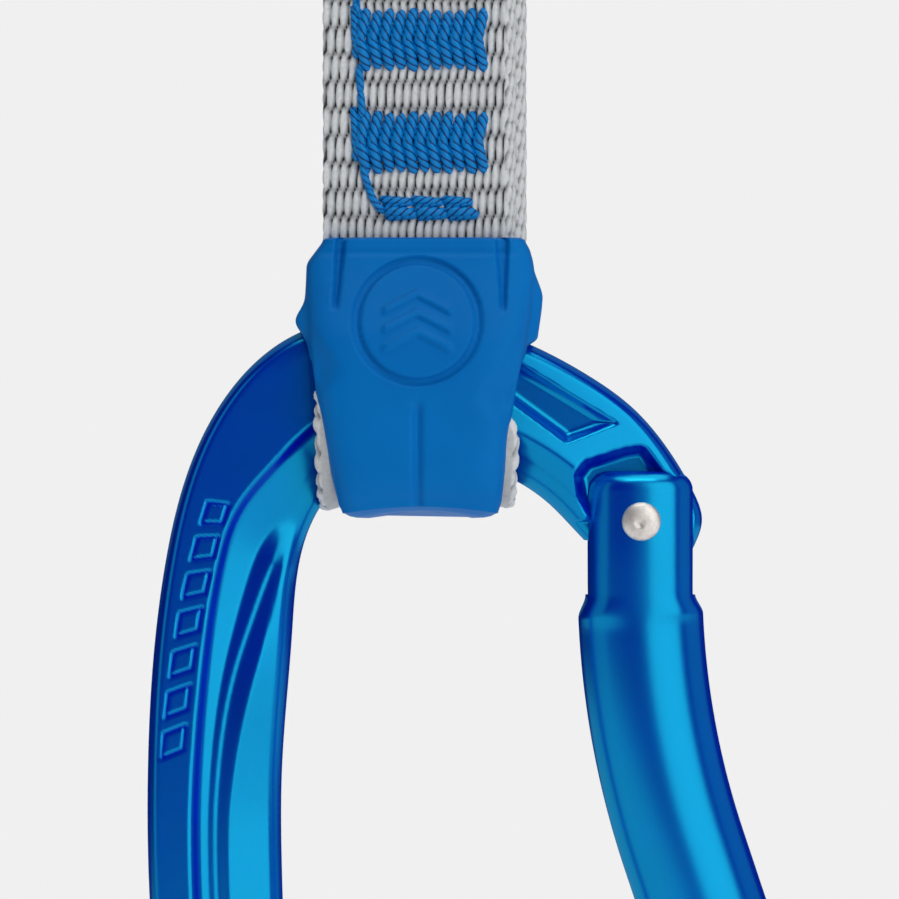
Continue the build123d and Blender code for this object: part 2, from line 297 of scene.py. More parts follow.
def inside_distance(points: np.ndarray, corners: Sequence[tuple[float, float]]) -> np.ndarray:
    """Distance of plane points to a polygon's edge, positive inside.

    Args:
        points: array whose last axis is the two plane coordinates.
        corners: the polygon's corners.

    Returns:
        Signed distances in the points' own units.
    """
    poly = np.array(corners)
    nearest = np.full(points.shape[:-1], 1e9)
    inside = np.zeros(points.shape[:-1], dtype=bool)
    for a, b in zip(poly, np.roll(poly, -1, axis=0)):
        edge = b - a
        share = np.clip(((points - a) @ edge) / (edge @ edge), 0, 1)
        nearest = np.minimum(nearest, np.linalg.norm(points - a - share[..., None] * edge, axis=-1))
        crosses = (a[1] > points[..., 1]) != (b[1] > points[..., 1])
        rise = edge[1] if abs(edge[1]) > 1e-9 else 1e-9
        inside ^= crosses & (points[..., 0] < edge[0] * (points[..., 1] - a[1]) / rise + a[0])
    return np.where(inside, nearest, -nearest)


class Curve:
    """Smooth plane curve through a few points, as a natural cubic spline over its chord length."""

    def __init__(self, points: Sequence[tuple[float, float]]) -> None:
        """Solves the spline's second derivatives at its points.

        Args:
            points: the points that the spline passes through.
        """
        self.knots = np.array(points, dtype=float)
        steps = np.linalg.norm(np.diff(self.knots, axis=0), axis=1)
        self.at_knots = np.concatenate([[0], np.cumsum(steps)])
        count = len(self.knots)
        matrix = np.eye(count)
        right = np.zeros((count, self.knots.shape[1]))
        for i in range(1, count - 1):
            matrix[i, i - 1 : i + 2] = (steps[i - 1], 2 * (steps[i - 1] + steps[i]), steps[i])
            after = (self.knots[i + 1] - self.knots[i]) / steps[i]
            before = (self.knots[i] - self.knots[i - 1]) / steps[i - 1]
            right[i] = 6 * (after - before)
        self.bend = np.linalg.solve(matrix, right)

    def at(self, where: np.ndarray) -> np.ndarray:
        """Points of the curve at given chord lengths.

        Args:
            where: lengths along the chords.

        Returns:
            One point for each length.
        """
        where = np.asarray(where, dtype=float)
        i = np.clip(np.searchsorted(self.at_knots, where) - 1, 0, len(self.knots) - 2)
        step = (self.at_knots[i + 1] - self.at_knots[i])[..., None]
        b = (where - self.at_knots[i])[..., None]
        a = step - b
        first, last = self.knots[i], self.knots[i + 1]
        return (
            (self.bend[i] * a**3 + self.bend[i + 1] * b**3) / (6 * step)
            + (first / step - self.bend[i] * step / 6) * a
            + (last / step - self.bend[i + 1] * step / 6) * b
        )

    def nearest(self, point: tuple[float, float]) -> float:
        """Chord length of the curve's nearest place to a point."""
        fine = np.linspace(0, self.at_knots[-1], 1500)
        return float(fine[np.argmin(np.linalg.norm(self.at(fine) - np.array(point), axis=1))])


# ------------------------------------------------------------------ finishes
class Nodes:
    """Short hand for building one material's node tree."""

    def __init__(self, name: str) -> None:
        """Starts a material with an empty tree, one principled shader and an output.

        Args:
            name: the material's name.
        """
        self.material = bpy.data.materials.new(name)
        self.material.use_nodes = True
        self.tree = self.material.node_tree
        self.tree.nodes.clear()
        self.shader = self.add("ShaderNodeBsdfPrincipled")
        out = self.add("ShaderNodeOutputMaterial")
        self.link(self.shader.outputs["BSDF"], out.inputs["Surface"])

    def add(self, kind: str, **values: object) -> bpy.types.Node:
        """Adds a node and sets its inputs or properties by name.

        Args:
            kind: the node's type.

        Returns:
            The new node.
        """
        node = self.tree.nodes.new(kind)
        for key, value in values.items():
            label = key.replace("_", " ").title()
            if label in node.inputs:
                node.inputs[label].default_value = value
            else:
                setattr(node, key, value)
        return node

    def link(self, start: bpy.types.NodeSocket, end: bpy.types.NodeSocket) -> None:
        """Joins two sockets."""
        self.tree.links.new(start, end)

    def place(self) -> bpy.types.NodeSocket:
        """Object coordinates, in metres."""
        return self.add("ShaderNodeTexCoord").outputs["Object"]

    def noise(self, scale: float, detail: float = 2.0, rough: float = 0.5) -> bpy.types.NodeSocket:
        """Noise over the object's own coordinates.

        Args:
            scale: how fine the noise is, per metre.
            detail: number of octaves.
            rough: share that each octave keeps.

        Returns:
            The noise, from 0 to 1.
        """
        node = self.add("ShaderNodeTexNoise", scale=scale, detail=detail, roughness=rough)
        self.link(self.place(), node.inputs["Vector"])
        return node.outputs["Fac"]

    def ramp(
        self, source: bpy.types.NodeSocket, stops: Sequence[tuple[float, Colour]]
    ) -> bpy.types.NodeSocket:
        """Colour ramp over a value.

        Args:
            source: the value.
            stops: pairs of a place from 0 to 1 and a colour.

        Returns:
            The colour.
        """
        node = self.add("ShaderNodeValToRGB")
        ramp = node.color_ramp
        while len(ramp.elements) < len(stops):
            ramp.elements.new(0.5)
        for element, (place, colour) in zip(ramp.elements, stops):
            element.position = place
            element.color = (*colour, 1)
        self.link(source, node.inputs["Fac"])
        return node.outputs["Color"]

    def spread(self, source: bpy.types.NodeSocket, low: float, high: float) -> bpy.types.NodeSocket:
        """Maps a 0 to 1 value to a range.

        Args:
            source: the value, from 0 to 1.
            low: result at 0.
            high: result at 1.

        Returns:
            The mapped value.
        """
        node = self.add("ShaderNodeMapRange")
        node.inputs["To Min"].default_value = low
        node.inputs["To Max"].default_value = high
        self.link(source, node.inputs["Value"])
        return node.outputs["Result"]

    def bump(self, height: bpy.types.NodeSocket, depth: float, strength: float = 1.0) -> None:
        """Adds a bump of a depth in metres on top of any bump already there.

        Args:
            height: the height, from 0 to 1.
            depth: metres from 0 to 1.
            strength: how much of it to use.
        """
        node = self.add("ShaderNodeBump")
        node.inputs["Strength"].default_value = strength
        node.inputs["Distance"].default_value = depth
        self.link(height, node.inputs["Height"])
        before = self.shader.inputs["Normal"]
        if before.is_linked:
            self.link(before.links[0].from_socket, node.inputs["Normal"])
        self.link(node.outputs["Normal"], before)


@dataclass(frozen=True)
class Anodised:
    """Satin anodised aluminium: dyed oxide over bright metal, with a fine blasted grain, and painted shade
    that darkens its reflection in engravings and on channel walls.
    """

    name: str
    dye: tuple[float, float, float]
    glint: tuple[float, float, float]
    roughness: float = 0.25
    index: float = 5.2
    gloss: float = 0.13

    def build(self) -> bpy.types.Material:
        """Makes the material.

        Returns:
            The new material.
        """
        nodes = Nodes(self.name)
        shader = nodes.shader
        shade = nodes.noise(160, 3)
        darker = tuple(0.86 * part for part in self.dye)
        nodes.link(nodes.ramp(shade, [(0.3, darker), (0.7, self.dye)]), shader.inputs["Base Color"])
        shader.inputs["IOR"].default_value = self.index
        # painted shade: where the lift attribute is high, the reflection colour falls to 0.12 of the glint
        sunk = nodes.add("ShaderNodeAttribute", attribute_name="lift")
        shaded_glint = tuple(0.12 * part for part in self.glint)
        tint = nodes.ramp(sunk.outputs["Fac"], [(0.0, self.glint), (1.0, shaded_glint)])
        nodes.link(tint, shader.inputs["Specular Tint"])
        shader.inputs["Coat Weight"].default_value = self.gloss
        shader.inputs["Coat Roughness"].default_value = self.roughness
        grain = nodes.noise(9000, 2, 0.6)
        rough = nodes.spread(grain, self.roughness - 0.03, self.roughness + 0.03)
        nodes.link(rough, shader.inputs["Roughness"])
        nodes.bump(grain, 0.000005, 0.14)
        return nodes.material


@dataclass(frozen=True)
class Steel:
    """Bare steel, with fine turning or drawing marks."""

    name: str
    colour: tuple[float, float, float]
    roughness: float

    def build(self) -> bpy.types.Material:
        """Makes the material.

        Returns:
            The new material.
        """
        nodes = Nodes(self.name)
        shader = nodes.shader
        shader.inputs["Metallic"].default_value = 1.0
        wear = nodes.noise(1400, 4, 0.65)
        darker = tuple(0.72 * part for part in self.colour)
        nodes.link(nodes.ramp(wear, [(0.25, darker), (0.62, self.colour)]), shader.inputs["Base Color"])
        rough = nodes.spread(wear, self.roughness + 0.1, self.roughness - 0.05)
        nodes.link(rough, shader.inputs["Roughness"])
        nodes.bump(wear, 0.00001, 0.4)
        return nodes.material


@dataclass(frozen=True)
class Rubber:
    """Moulded rubber with a faint bloom."""

    name: str
    colour: tuple[float, float, float]
    light: tuple[float, float, float]

    def build(self) -> bpy.types.Material:
        """Makes the material.

        Returns:
            The new material.
        """
        nodes = Nodes(self.name)
        shader = nodes.shader
        bloom = nodes.noise(70, 3)
        nodes.link(nodes.ramp(bloom, [(0.32, self.colour), (0.7, self.light)]), shader.inputs["Base Color"])
        skin = nodes.noise(5200, 3, 0.6)
        nodes.link(nodes.spread(skin, 0.46, 0.58), shader.inputs["Roughness"])
        shader.inputs["IOR"].default_value = 1.42
        shader.inputs["Specular Tint"].default_value = (0.15, 0.75, 1.0, 1)
        nodes.bump(skin, 0.00001, 0.3)
        return nodes.material


@dataclass(frozen=True)
class Fibre:
    """Polyester yarn, with painted shade where it dives under its neighbours, and the fine lines of its
    filaments.
    """

    name: str
    colour: tuple[float, float, float]
    shade: tuple[float, float, float]
    filament_turns: float
    roughness: float = 0.6
    sheen: float = 0.25

    def build(self) -> bpy.types.Material:
        """Makes the material.

        Returns:
            The new material.
        """
        nodes = Nodes(self.name)
        shader = nodes.shader
        # painted shade: the colour falls to the shade colour where the lift attribute is low, in the gaps
        depth = nodes.add("ShaderNodeAttribute", attribute_name="lift")
        tone = nodes.ramp(depth.outputs["Fac"], [(0.12, self.shade), (0.78, self.colour)])
        speckle = nodes.noise(2600, 3, 0.6)
        mix = nodes.add("ShaderNodeMix", data_type="RGBA", blend_type="MULTIPLY")
        mix.inputs["Factor"].default_value = 0.5
        nodes.link(tone, mix.inputs["A"])
        nodes.link(nodes.ramp(speckle, [(0.3, (0.72, 0.72, 0.72)), (0.6, (1, 1, 1))]), mix.inputs["B"])
        nodes.link(mix.outputs["Result"], shader.inputs["Base Color"])
        shader.inputs["Roughness"].default_value = self.roughness
        shader.inputs["Specular IOR Level"].default_value = 0.22
        shader.inputs["Sheen Weight"].default_value = self.sheen
        shader.inputs["Sheen Roughness"].default_value = 0.4
        stretch = nodes.add("ShaderNodeMapping")
        turns = self.filament_turns
        stretch.inputs["Scale"].default_value = (turns, turns, turns * 0.12)
        nodes.link(nodes.place(), stretch.inputs["Vector"])
        lines = nodes.add("ShaderNodeTexNoise", scale=1.0, detail=3.0, roughness=0.6)
        nodes.link(stretch.outputs["Vector"], lines.inputs["Vector"])
        nodes.bump(lines.outputs["Fac"], 0.00006, 0.6)
        return nodes.material


ROPE_BLUE = Anodised("anodised_blue", (0.0, 0.003, 0.50), (0.0, 0.56, 0.72))
BOLT_GREY = Anodised("anodised_grey", (0.035, 0.037, 0.042), (0.52, 0.56, 0.62))
RIVET_STEEL = Steel("rivet_steel", (0.88, 0.83, 0.79), 0.48)
SPRING_STEEL = Steel("spring_steel", (0.55, 0.55, 0.56), 0.3)
KEEPER_RUBBER = Rubber("keeper_rubber", (0.0, 0.14, 0.50), (0.0, 0.17, 0.56))
# the second colour of each yarn is the painted shade of its gaps
WEB_FIBRE = Fibre("webbing_yarn", (0.74, 0.765, 0.78), (0.02, 0.02, 0.025), 9000)
THREAD_FIBRE = Fibre("blue_thread", (0.0, 0.245, 0.68), (0.0, 0.003, 0.11), 7000, 0.42, 0.0)


@dataclass
class Wardrobe:
    """Builds each finish once and hands it out."""

    made: dict[str, bpy.types.Material] = field(default_factory=dict)

    def dress(self, obj: bpy.types.Object, finish: Anodised | Steel | Rubber | Fibre) -> None:
        """Gives an object a finish.

        Args:
            obj: the object.
            finish: the finish to give it.
        """
        if finish.name not in self.made:
            self.made[finish.name] = finish.build()
        obj.data.materials.clear()
        obj.data.materials.append(self.made[finish.name])


# ------------------------------------------------------------------ carabiner body
OUTER_POINTS = (
    (27.2, -15.8), (28.1, -13.0), (27.2, -10.1), (25.1, -6.5), (21.3, -1.9), (16.5, 1.6), (10.8, 4.6),
    (-1, 7.5), (-13.6, 5), (-21, -3),
    (-25.5, -17), (-27.3, -38), (-27, -53), (-23.6, -72), (-14, -86.5), (0, -92.5),
    (16, -90.8), (30.5, -81.8), (38, -68), (36.8, -57.6),
)
INNER_POINTS = (
    (16.3, -15.0), (14.8, -13.4), (12.7, -11.3), (7.6, -8.2), (0, -6.6), (-7.2, -8.6), (-10.8, -13),
    (-12.9, -24.5),
    (-13.9, -38), (-13.9, -48), (-12.6, -64), (-8, -75.5), (0, -80.5), (11, -79.3), (21.5, -74),
    (25, -66.5), (24.2, -60),
)


@dataclass
class CarabinerBody:
    """Forged body: a bent bar with a raised outer rim, a hollowed spine and a pocketed shoulder."""

    seat: Seat
    finish: Anodised
    half_depth: float = 4.8
    edge: float = 1.15
    across: int = 72
    mark_depth: float = 0.13
    stations: tuple[tuple[tuple[float, float], tuple[float, float]], ...] = (
        ((27.2, -15.8), (16.3, -15.0)), ((26.9, -9.4), (13.9, -12.4)), ((23.0, -3.6), (10.2, -9.7)),
        ((17.5, 1.0), (6.6, -7.8)), ((10.8, 4.6), (3.2, -6.9)), ((-1, 7.5), (-1.2, -6.6)),
        ((-13.6, 5), (-6.4, -8.1)), ((-21, -3), (-10.6, -12.4)), ((-24.0, -11), (-11.5, -16.6)),
        ((-25.5, -17), (-12.2, -20.2)), ((-26.6, -26), (-13.1, -27)), ((-27.3, -38), (-13.9, -38)),
        ((-27.3, -48), (-13.9, -48)), ((-26.2, -60), (-13.2, -60)), ((-23.6, -72), (-11.0, -69.6)),
        ((-14, -86.5), (-5.7, -77.6)), ((0, -92.5), (0, -80.5)), ((16, -90.8), (10, -79.6)),
        ((30.5, -81.8), (20.5, -75)), ((38, -68), (25, -66.5)), ((37.2, -59.4), (24.75, -62)),
    )
    pocket: tuple[tuple[float, float], ...] = ((5.0, 5.6), (19.7, -3.35), (14.5, -5.35), (5.0, 1.65))
    relief: tuple[tuple[float, float], ...] = (
        (17.9, -13.0), (16.5, -10.4), (16.3, -8.7), (16.9, -7.9), (20.4, -6.8), (21.7, -6.6), (23.3, -8.7),
        (25.0, -11.4), (26.0, -15.0), (26.0, -22.0), (17.9, -22.0),
    )
    relief_corner: float = 1.1
    # painted shade for the reflection colour: the engraved frames and the spine channel's wall, set by
    # heights
    painted_shade: np.ndarray = field(default_factory=lambda: np.zeros(1))

    def frames(self) -> tuple[np.ndarray, np.ndarray]:
        """Matched points of the outer and the inner outline, from the hinge to the nose.

        Returns:
            Points of the outer outline and of the inner one, in the same order.
        """
        outer, inner = Curve(OUTER_POINTS), Curve(INNER_POINTS)
        marks = np.arange(len(self.stations))
        outer_at = [outer.nearest(pair[0]) for pair in self.stations]
        inner_at = [inner.nearest(pair[1]) for pair in self.stations]
        fine = np.linspace(0, marks[-1], 4000)
        out_t = blurred(np.interp(fine, marks, outer_at), 161)
        in_t = blurred(np.interp(fine, marks, inner_at), 161)
        for line, ends in ((out_t, outer_at), (in_t, inner_at)):
            line[:300] += np.linspace(1, 0, 300) * (ends[0] - line[0])
            line[-300:] += np.linspace(0, 1, 300) * (ends[-1] - line[-1])
        length = np.concatenate([[0], np.cumsum(np.linalg.norm(np.diff(
            (outer.at(out_t) + inner.at(in_t)) / 2, axis=0), axis=1))])
        fine_end = 80.0
        last = length[-1]
        plain = smooth_step(fine_end, fine_end + 25, length) * smooth_step(last - 4, last - 16, length)
        step = 0.19 + 0.45 * plain
        count = np.concatenate([[0], np.cumsum(np.diff(length) / step[1:])])
        where = np.interp(np.linspace(0, count[-1], int(count[-1])), count, length)
        out_t, in_t = np.interp(where, length, out_t), np.interp(where, length, in_t)
        return outer.at(out_t), inner.at(in_t)

    def marks(self, flat: np.ndarray, w: np.ndarray) -> np.ndarray:
        """Depth of the plain slanted frames engraved along the spine's rim.

        Args:
            flat: plane points (station, across, xz).
            w: distance in from the outer outline.

        Returns:
            Depth at each point.
        """
        outline = flat[:, 0]
        along = np.concatenate([[0], np.cumsum(np.linalg.norm(np.diff(outline, axis=0), axis=1))])
        start = along[np.argmin(np.hypot(outline[:, 0] + 23.3, outline[:, 1] + 9.0))]
        middle = np.interp(along, start + np.array([0, 28]), (4.1, 2.6))
        depth = np.zeros_like(w)
        for i in range(7):
            across = w - middle[:, None]
            ahead = along[:, None] - (start + 1.8 + 4.1 * i) + 0.45 * across
            frame_edge = np.maximum(np.abs(ahead) - 1.2, np.abs(across) - 1.0)
            depth += self.mark_depth * smooth_step(0.26, 0.04, np.abs(frame_edge))
        return depth

    def heights(self, flat: np.ndarray, width: np.ndarray, share: np.ndarray) -> np.ndarray:
        """Half thickness of the body; on the way it also stores the painted shade of the engravings and the
        channel wall.

        Args:
            flat: plane points (station, across, xz).
            width: width of the bar at each station.
            share: place across, from 0 at the outer outline to 1 at the inner one.

        Returns:
            Half thickness in millimetres at each point.
        """
        z = (flat[:, 0, 1] + flat[:, -1, 1]) / 2
        x = (flat[:, 0, 0] + flat[:, -1, 0]) / 2
        w = share[None, :] * width[:, None]
        # shoulder: it falls gently outward, and rolls over towards the inside of the hook
        end = width[:, None]
        inward = end - w
        crown = np.interp(inward, (0.0, 3.1, 4.1, 4.9, 14.0), (2.0, 4.15, 4.62, 4.85, 3.5))
        plain = self.half_depth - 0.35 * smooth_step(2.5, 0.0, w) - 0.5 * smooth_step(2.5, 0.0, inward)
        shoulder = smooth_step(-9.0, 0.0, x)[:, None] * smooth_step(-30.0, -20.0, z)[:, None]
        crown = shoulder * crown + (1 - shoulder) * plain
        # spine: flat rim, steep wall, scooped channel, crease, and the facet along the inside
        places = (1.5, 5.0, 7.7, 10.5, 13.8, 20.0, 27.0, 31.0, 36.0, 42.0, 55.0, 75.0)
        rim = np.interp(-z, places, (8.9, 8.5, 7.85, 6.6, 5.6, 5.3, 5.15, 5.0, 4.75, 4.5, 4.4, 4.6))
        wall = np.interp(-z, (10, 25, 42), (0.45, 0.45, 0.8))
        lower = (10.0, 12.0, 15.3, 19.0, 23.3, 27.0, 31.2, 36.0, 42.4, 55.0, 75.0)
        crease = np.interp(-z, lower, (12.6, 12.1, 10.7, 9.95, 9.15, 8.3, 7.6, 7.1, 6.7, 6.6, 7.2))
        facet = np.interp(-z, lower, (13.2, 12.9, 11.9, 11.6, 11.2, 10.5, 9.7, 8.9, 8.15, 8.0, 8.8))
        rim, wall, crease, facet = (blurred(line, 21) for line in (rim, wall, crease, facet))
        fade = np.where(x < -8, smooth_step(86, 72, -z) * smooth_step(-1.0, 4.0, -z), 0.0)
        split = smooth_step(9.0, 16.0, -z)
        rows = np.empty_like(w)
        for i in range(len(w)):
            foot = rim[i] + wall[i]
            gap = crease[i] - foot
            valley = foot + 0.62 * gap
            valley_height = 3.78 - 0.36 * (valley - foot)
            crease_height = valley_height + 0.2 * (crease[i] - valley)
            facet_height = crease_height - 0.2 + 0.27 * (facet[i] - crease[i] - 0.35)
            inner_point = (width[i], 3.1 - 0.3 * (width[i] - foot - 2.2))
            one = ((0.0, 4.72), (rim[i], 4.8), (foot, 3.78), (foot + 2.2, 3.1), inner_point)
            two = (
                (0.0, 4.72), (rim[i], 4.8), (foot, 3.78), (valley, valley_height), (crease[i], crease_height),
                (crease[i] + 0.35, crease_height - 0.2), (facet[i], facet_height),
                (width[i], facet_height - 0.36 * (width[i] - facet[i])))
            rows[i] = (1 - split[i]) * np.interp(w[i], *zip(*one)) + split[i] * np.interp(w[i], *zip(*two))
        top = (1 - fade[:, None]) * crown + fade[:, None] * rows
        step = width.mean() / len(share)
        top = blurred(top, max(3, int(0.26 / step) | 1), axis=1)
        marks = self.marks(flat, w)
        # painted shade: full in the engraved frames, and along the steep wall of the spine's channel
        from_wall = np.abs(w - (rim + 0.5 * wall)[:, None])
        self.painted_shade = marks / self.mark_depth + 0.85 * fade[:, None] * smooth_step(0.55, 0.1, from_wall)
        top = top - marks
        # shoulder pocket and hinge relief: sharp upper edges and rounded feet
        pocket = ease_out(0.0, 1.15, inside_distance(flat, self.pocket))
        top = top * (1 - pocket) + 3.1 * pocket
        away = flat - np.array(PIVOT)
        from_rivet = np.hypot(away[..., 0], away[..., 1])
        turn = np.degrees(np.arctan2(away[..., 1], away[..., 0]))
        sweep = 5.5 + 1.3 * smooth_step(50, 38, turn)
        sunk = np.maximum(inside_distance(flat, self.relief) + self.relief_corner, sweep - from_rivet)
        relief = ease_out(0.0, 1.2, sunk)
        top = top * (1 - relief) + 2.0 * relief
        # rounded long edges
        outer_edge = np.clip(w / self.edge, 0, 1)
        inner_edge = np.clip((width[:, None] - w) / (1.25 * self.edge), 0, 1)
        for near in (outer_edge, inner_edge):
            top = top * np.sqrt(np.clip(1 - (1 - near) ** 2, 0, 1))
        return top

    def build(self) -> bpy.types.Object:
        """Makes the closed skin of the body.

        Returns:
            The new object.
        """
        outer, inner = self.frames()
        width = np.linalg.norm(outer - inner, axis=1)
        edge_share = (1 - np.cos(np.linspace(0, math.pi / 2, 9)[:-1])) * 0.11
        far_share = 1 - (1 - np.sin(np.linspace(0, math.pi / 2, 12)[1:])) * 0.18
        share = np.concatenate([edge_share, np.linspace(0.11, 0.82, self.across - 19), far_share])
        share = np.unique(np.clip(share, 0, 1))
        flat = outer[:, None, :] * (1 - share[None, :, None]) + inner[:, None, :] * share[None, :, None]
        height = self.heights(flat, width, share)
        height[:, 0] = height[:, -1] = 0
        front = np.stack([flat[..., 0], -height, flat[..., 1]], axis=-1)
        back = np.stack([flat[..., 0], height, flat[..., 1]], axis=-1)[:, -2:0:-1]
        rings = np.concatenate([front, back], axis=1)
        around = rings.shape[1]
        points = [rings.reshape(-1, 3)]
        # the painted shade goes into the lift attribute, which darkens the anodised finish's reflection
        dark = np.concatenate([self.painted_shade, self.painted_shade[:, -2:0:-1]], axis=1)
        lift = [dark.ravel()]
        faces = tube_faces(len(rings), around)
        first = rings.shape[0] * around
        for part in (self.tongue(), self.nose()):
            points.append(part.reshape(-1, 3))
            lift.append(np.zeros(part.shape[0] * part.shape[1]))
            faces += tube_faces(part.shape[0], part.shape[1], first)
            first += part.shape[0] * part.shape[1]
        name = f"{self.seat.end.value}_body_skin"
        return make_object(name, self.seat.place(np.concatenate(points)), faces, np.concatenate(lift))

    def tongue(self) -> np.ndarray:
        """Thin round end of the body between the gate's ears.

        Returns:
            Rings of the tongue.
        """
        turns = np.radians(np.linspace(-66, 66, 40))
        degrees = np.degrees(turns)
        reach = 4.4 + 1.5 * smooth_step(30, 64, degrees) + 0.7 * smooth_step(-30, -66, degrees)
        x = PIVOT[0] + reach * np.sin(turns)
        z = PIVOT[1] - reach * np.cos(turns)
        low = np.stack([x, z], axis=1)
        high = np.stack([np.linspace(17.2, 26.6, 40), np.full(40, -10.5)], axis=1)
        levels = (-2.0, -1.8, 1.8, 2.0)
        insets = (0.12, 0.0, 0.0, 0.12)
        rings = []
        for level, inset in zip(levels, insets):
            outline = np.concatenate([low, high[::-1]])
            centre = outline.mean(axis=0)
            outline = outline + (centre - outline) * inset / 6
            rings.append(np.stack([outline[:, 0], np.full(len(outline), level), outline[:, 1]], axis=1))
        return np.array(rings)

    def nose(self) -> np.ndarray:
        """T-shaped nose that the gate closes on, as a ring profile swept about the rivet.

        Returns:
            Rings of the nose.
        """
        profile = ((51.0, -1.7), (46.6, -1.7), (46.6, -3.0), (46.4, -3.2), (44.1, -3.2), (43.9, -3.0),
                   (43.9, 3.0), (44.1, 3.2), (46.4, 3.2), (46.6, 3.0), (46.6, 1.7), (51.0, 1.7))
        rings = []
        for angle in np.radians(np.linspace(8.0, 16.5, 18)):
            rings.append(about_rivet(angle, profile))
        return np.array(rings)

    def add(self, wardrobe: Wardrobe) -> None:
        """Builds the body, dresses it and puts it on its CAD body.

        Args:
            wardrobe: the finishes to dress with.
        """
        skin = self.build()
        face_outward(skin)
        wardrobe.dress(skin, self.finish)
        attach(skin, self.seat.body)
        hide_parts(f"{self.seat.end.value}_carabiner_body")
        LOG.info("%s: %d faces", skin.name, len(skin.data.polygons))


# ------------------------------------------------------------------ gate and rivet
@dataclass
class Gate:
    """Solid gate: two ears on the rivet, a rounded bar, and the recess that swallows the nose."""

    seat: Seat
    finish: Anodised
    lean: float
    bent: bool
    length: float = 48.8
    half_width: float = 6.25
    half_ear: float = 5.48
    roundness: float = 2.08
    slot_end: float = 7.35
    half_depth: float = 5.1
    ear_top: float = 5.0
    widens: float = 9.2
    bend_start: float = 5.9
    bend_radius: float = 85.0
    bend_angle: float = 18.4

    def centre(self, down: np.ndarray) -> tuple[np.ndarray, np.ndarray]:
        """Centre line below the rivet, and its angle from the ears' own axis.

        Args:
            down: distance below the rivet along the centre line.

        Returns:
            Points (x, z) about the rivet, and angles in radians.
        """
        if not self.bent:
            angle = np.full_like(down, math.radians(self.lean))
            return np.stack([down * np.sin(angle), -down * np.cos(angle)], axis=-1), angle
        turn = np.clip((down - self.bend_start) / self.bend_radius, 0, math.radians(self.bend_angle))
        past = np.clip(down - self.bend_start - self.bend_radius * math.radians(self.bend_angle), 0, None)
        x = self.bend_radius * (1 - np.cos(turn)) + past * np.sin(turn)
        z = -np.minimum(down, self.bend_start) - self.bend_radius * np.sin(turn) - past * np.cos(turn)
        return np.stack([x, z], axis=-1), turn

    def build(self) -> bpy.types.Object:
        """Makes the gate with its slot and recess cut in.

        Returns:
            The new object.
        """
        top = -self.ear_top
        down = np.concatenate([
            top + 1.9 * (1 - np.cos(np.linspace(0.12, math.pi / 2, 12))), np.linspace(top + 2.1, 6.8, 20),
            np.linspace(7, 10.5, 22), np.linspace(11, self.length - 1.0, 60),
            self.length - 1.0 * (1 - np.sin(np.linspace(0.15, math.pi / 2, 6)))])
        from_top = down - top
        rounding = 1.9 - np.sqrt(np.clip(1.9**2 - np.clip(1.9 - from_top, 0, None) ** 2, 0, None))
        from_tip = np.clip(down - self.length + 1.0, 0, 0.999)
        tip_rounding = 1.0 - np.sqrt(1 - from_tip**2)
        wide = smooth_step(self.widens - 1.9, self.widens + 0.3, down)
        half_x = self.half_ear + (self.half_width - self.half_ear) * wide - rounding - 0.7 * tip_rounding
        half_y = self.half_depth - 0.9 * rounding - 0.12 * smooth_step(2.0, 9.5, down) - 0.7 * tip_rounding
        around = np.linspace(0, 2 * math.pi, 97)[:-1]
        power = 2 / (self.roundness + 0.4 * smooth_step(11.0, 7.5, down))[:, None]
        unit_x = np.sign(np.cos(around)) * np.abs(np.cos(around)) ** power
        unit_y = np.sign(np.sin(around)) * np.abs(np.sin(around)) ** power
        # each line along the gate ends on the same radius about the rivet
        fine = np.linspace(self.length - 5, self.length + 5, 400)
        fine_middle, fine_angle = self.centre(fine)
        ends = []
        for u in unit_x[-1] * self.half_width:
            fine_x = fine_middle[:, 0] + u * np.cos(fine_angle)
            fine_z = fine_middle[:, 1] + u * np.sin(fine_angle)
            reach = np.hypot(fine_x, fine_z)
            ends.append(fine[np.argmin(np.abs(reach - self.length))])
        stretch = smooth_step(12, self.length, down)[:, None] * (np.array(ends) - self.length)[None, :]
        middle, angle = self.centre(down[:, None] + stretch)
        across = half_x[:, None] * unit_x
        x = PIVOT[0] + middle[..., 0] + across * np.cos(angle)
        z = PIVOT[1] + middle[..., 1] + across * np.sin(angle)
        y = half_y[:, None] * unit_y
        rings = np.stack([x, y, z], axis=-1)
        gate = tube_object(f"{self.seat.end.value}_gate_skin", self.seat.place(rings))
        face_outward(gate)
        cut(gate, self.slot_cutter())
        cut(gate, self.recess_cutter())
        return gate

    def slot_cutter(self) -> bpy.types.Object:
        """Block that opens the slot between the ears.

        Returns:
            The cutter.
        """
        turn = math.radians(self.lean)
        rings = []
        for y in (-2.15, 2.15):
            corners = []
            for u, v in ((-12, -self.slot_end), (12, -self.slot_end), (12, 12), (-12, 12)):
                x = PIVOT[0] + u * math.cos(turn) - v * math.sin(turn)
                corners.append((x, y, PIVOT[1] + u * math.sin(turn) + v * math.cos(turn)))
            rings.append(corners)
        return tube_object("slot_cutter", self.seat.place(np.array(rings)))

    def recess_cutter(self) -> bpy.types.Object:
        """T-shaped recess for the nose, open on the outer side.

        Returns:
            The cutter.
        """
        half = ((53.0, 2.0), (46.9, 2.0), (46.9, 3.5), (43.6, 3.5))
        profile = [(r, -y) for r, y in half] + list(reversed(half))
        rings = []
        for angle in np.radians(np.linspace(7.75, 27.0, 26)):
            rings.append(about_rivet(angle, profile))
        return tube_object("recess_cutter", self.seat.place(np.array(rings)))

    def add(self, wardrobe: Wardrobe) -> None:
        """Builds the gate, dresses it and its plunger, and puts it on its CAD body.

        Args:
            wardrobe: the finishes to dress with.
        """
        end = self.seat.end.value
        skin = self.build()
        wardrobe.dress(skin, self.finish)
        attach(skin, f"{end}_gate")
        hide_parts(f"{end}_gate")
        wardrobe.dress(frame["nodes"][f"{end}_gate_plunger"], SPRING_STEEL)
        LOG.info("%s: %d faces", skin.name, len(skin.data.polygons))


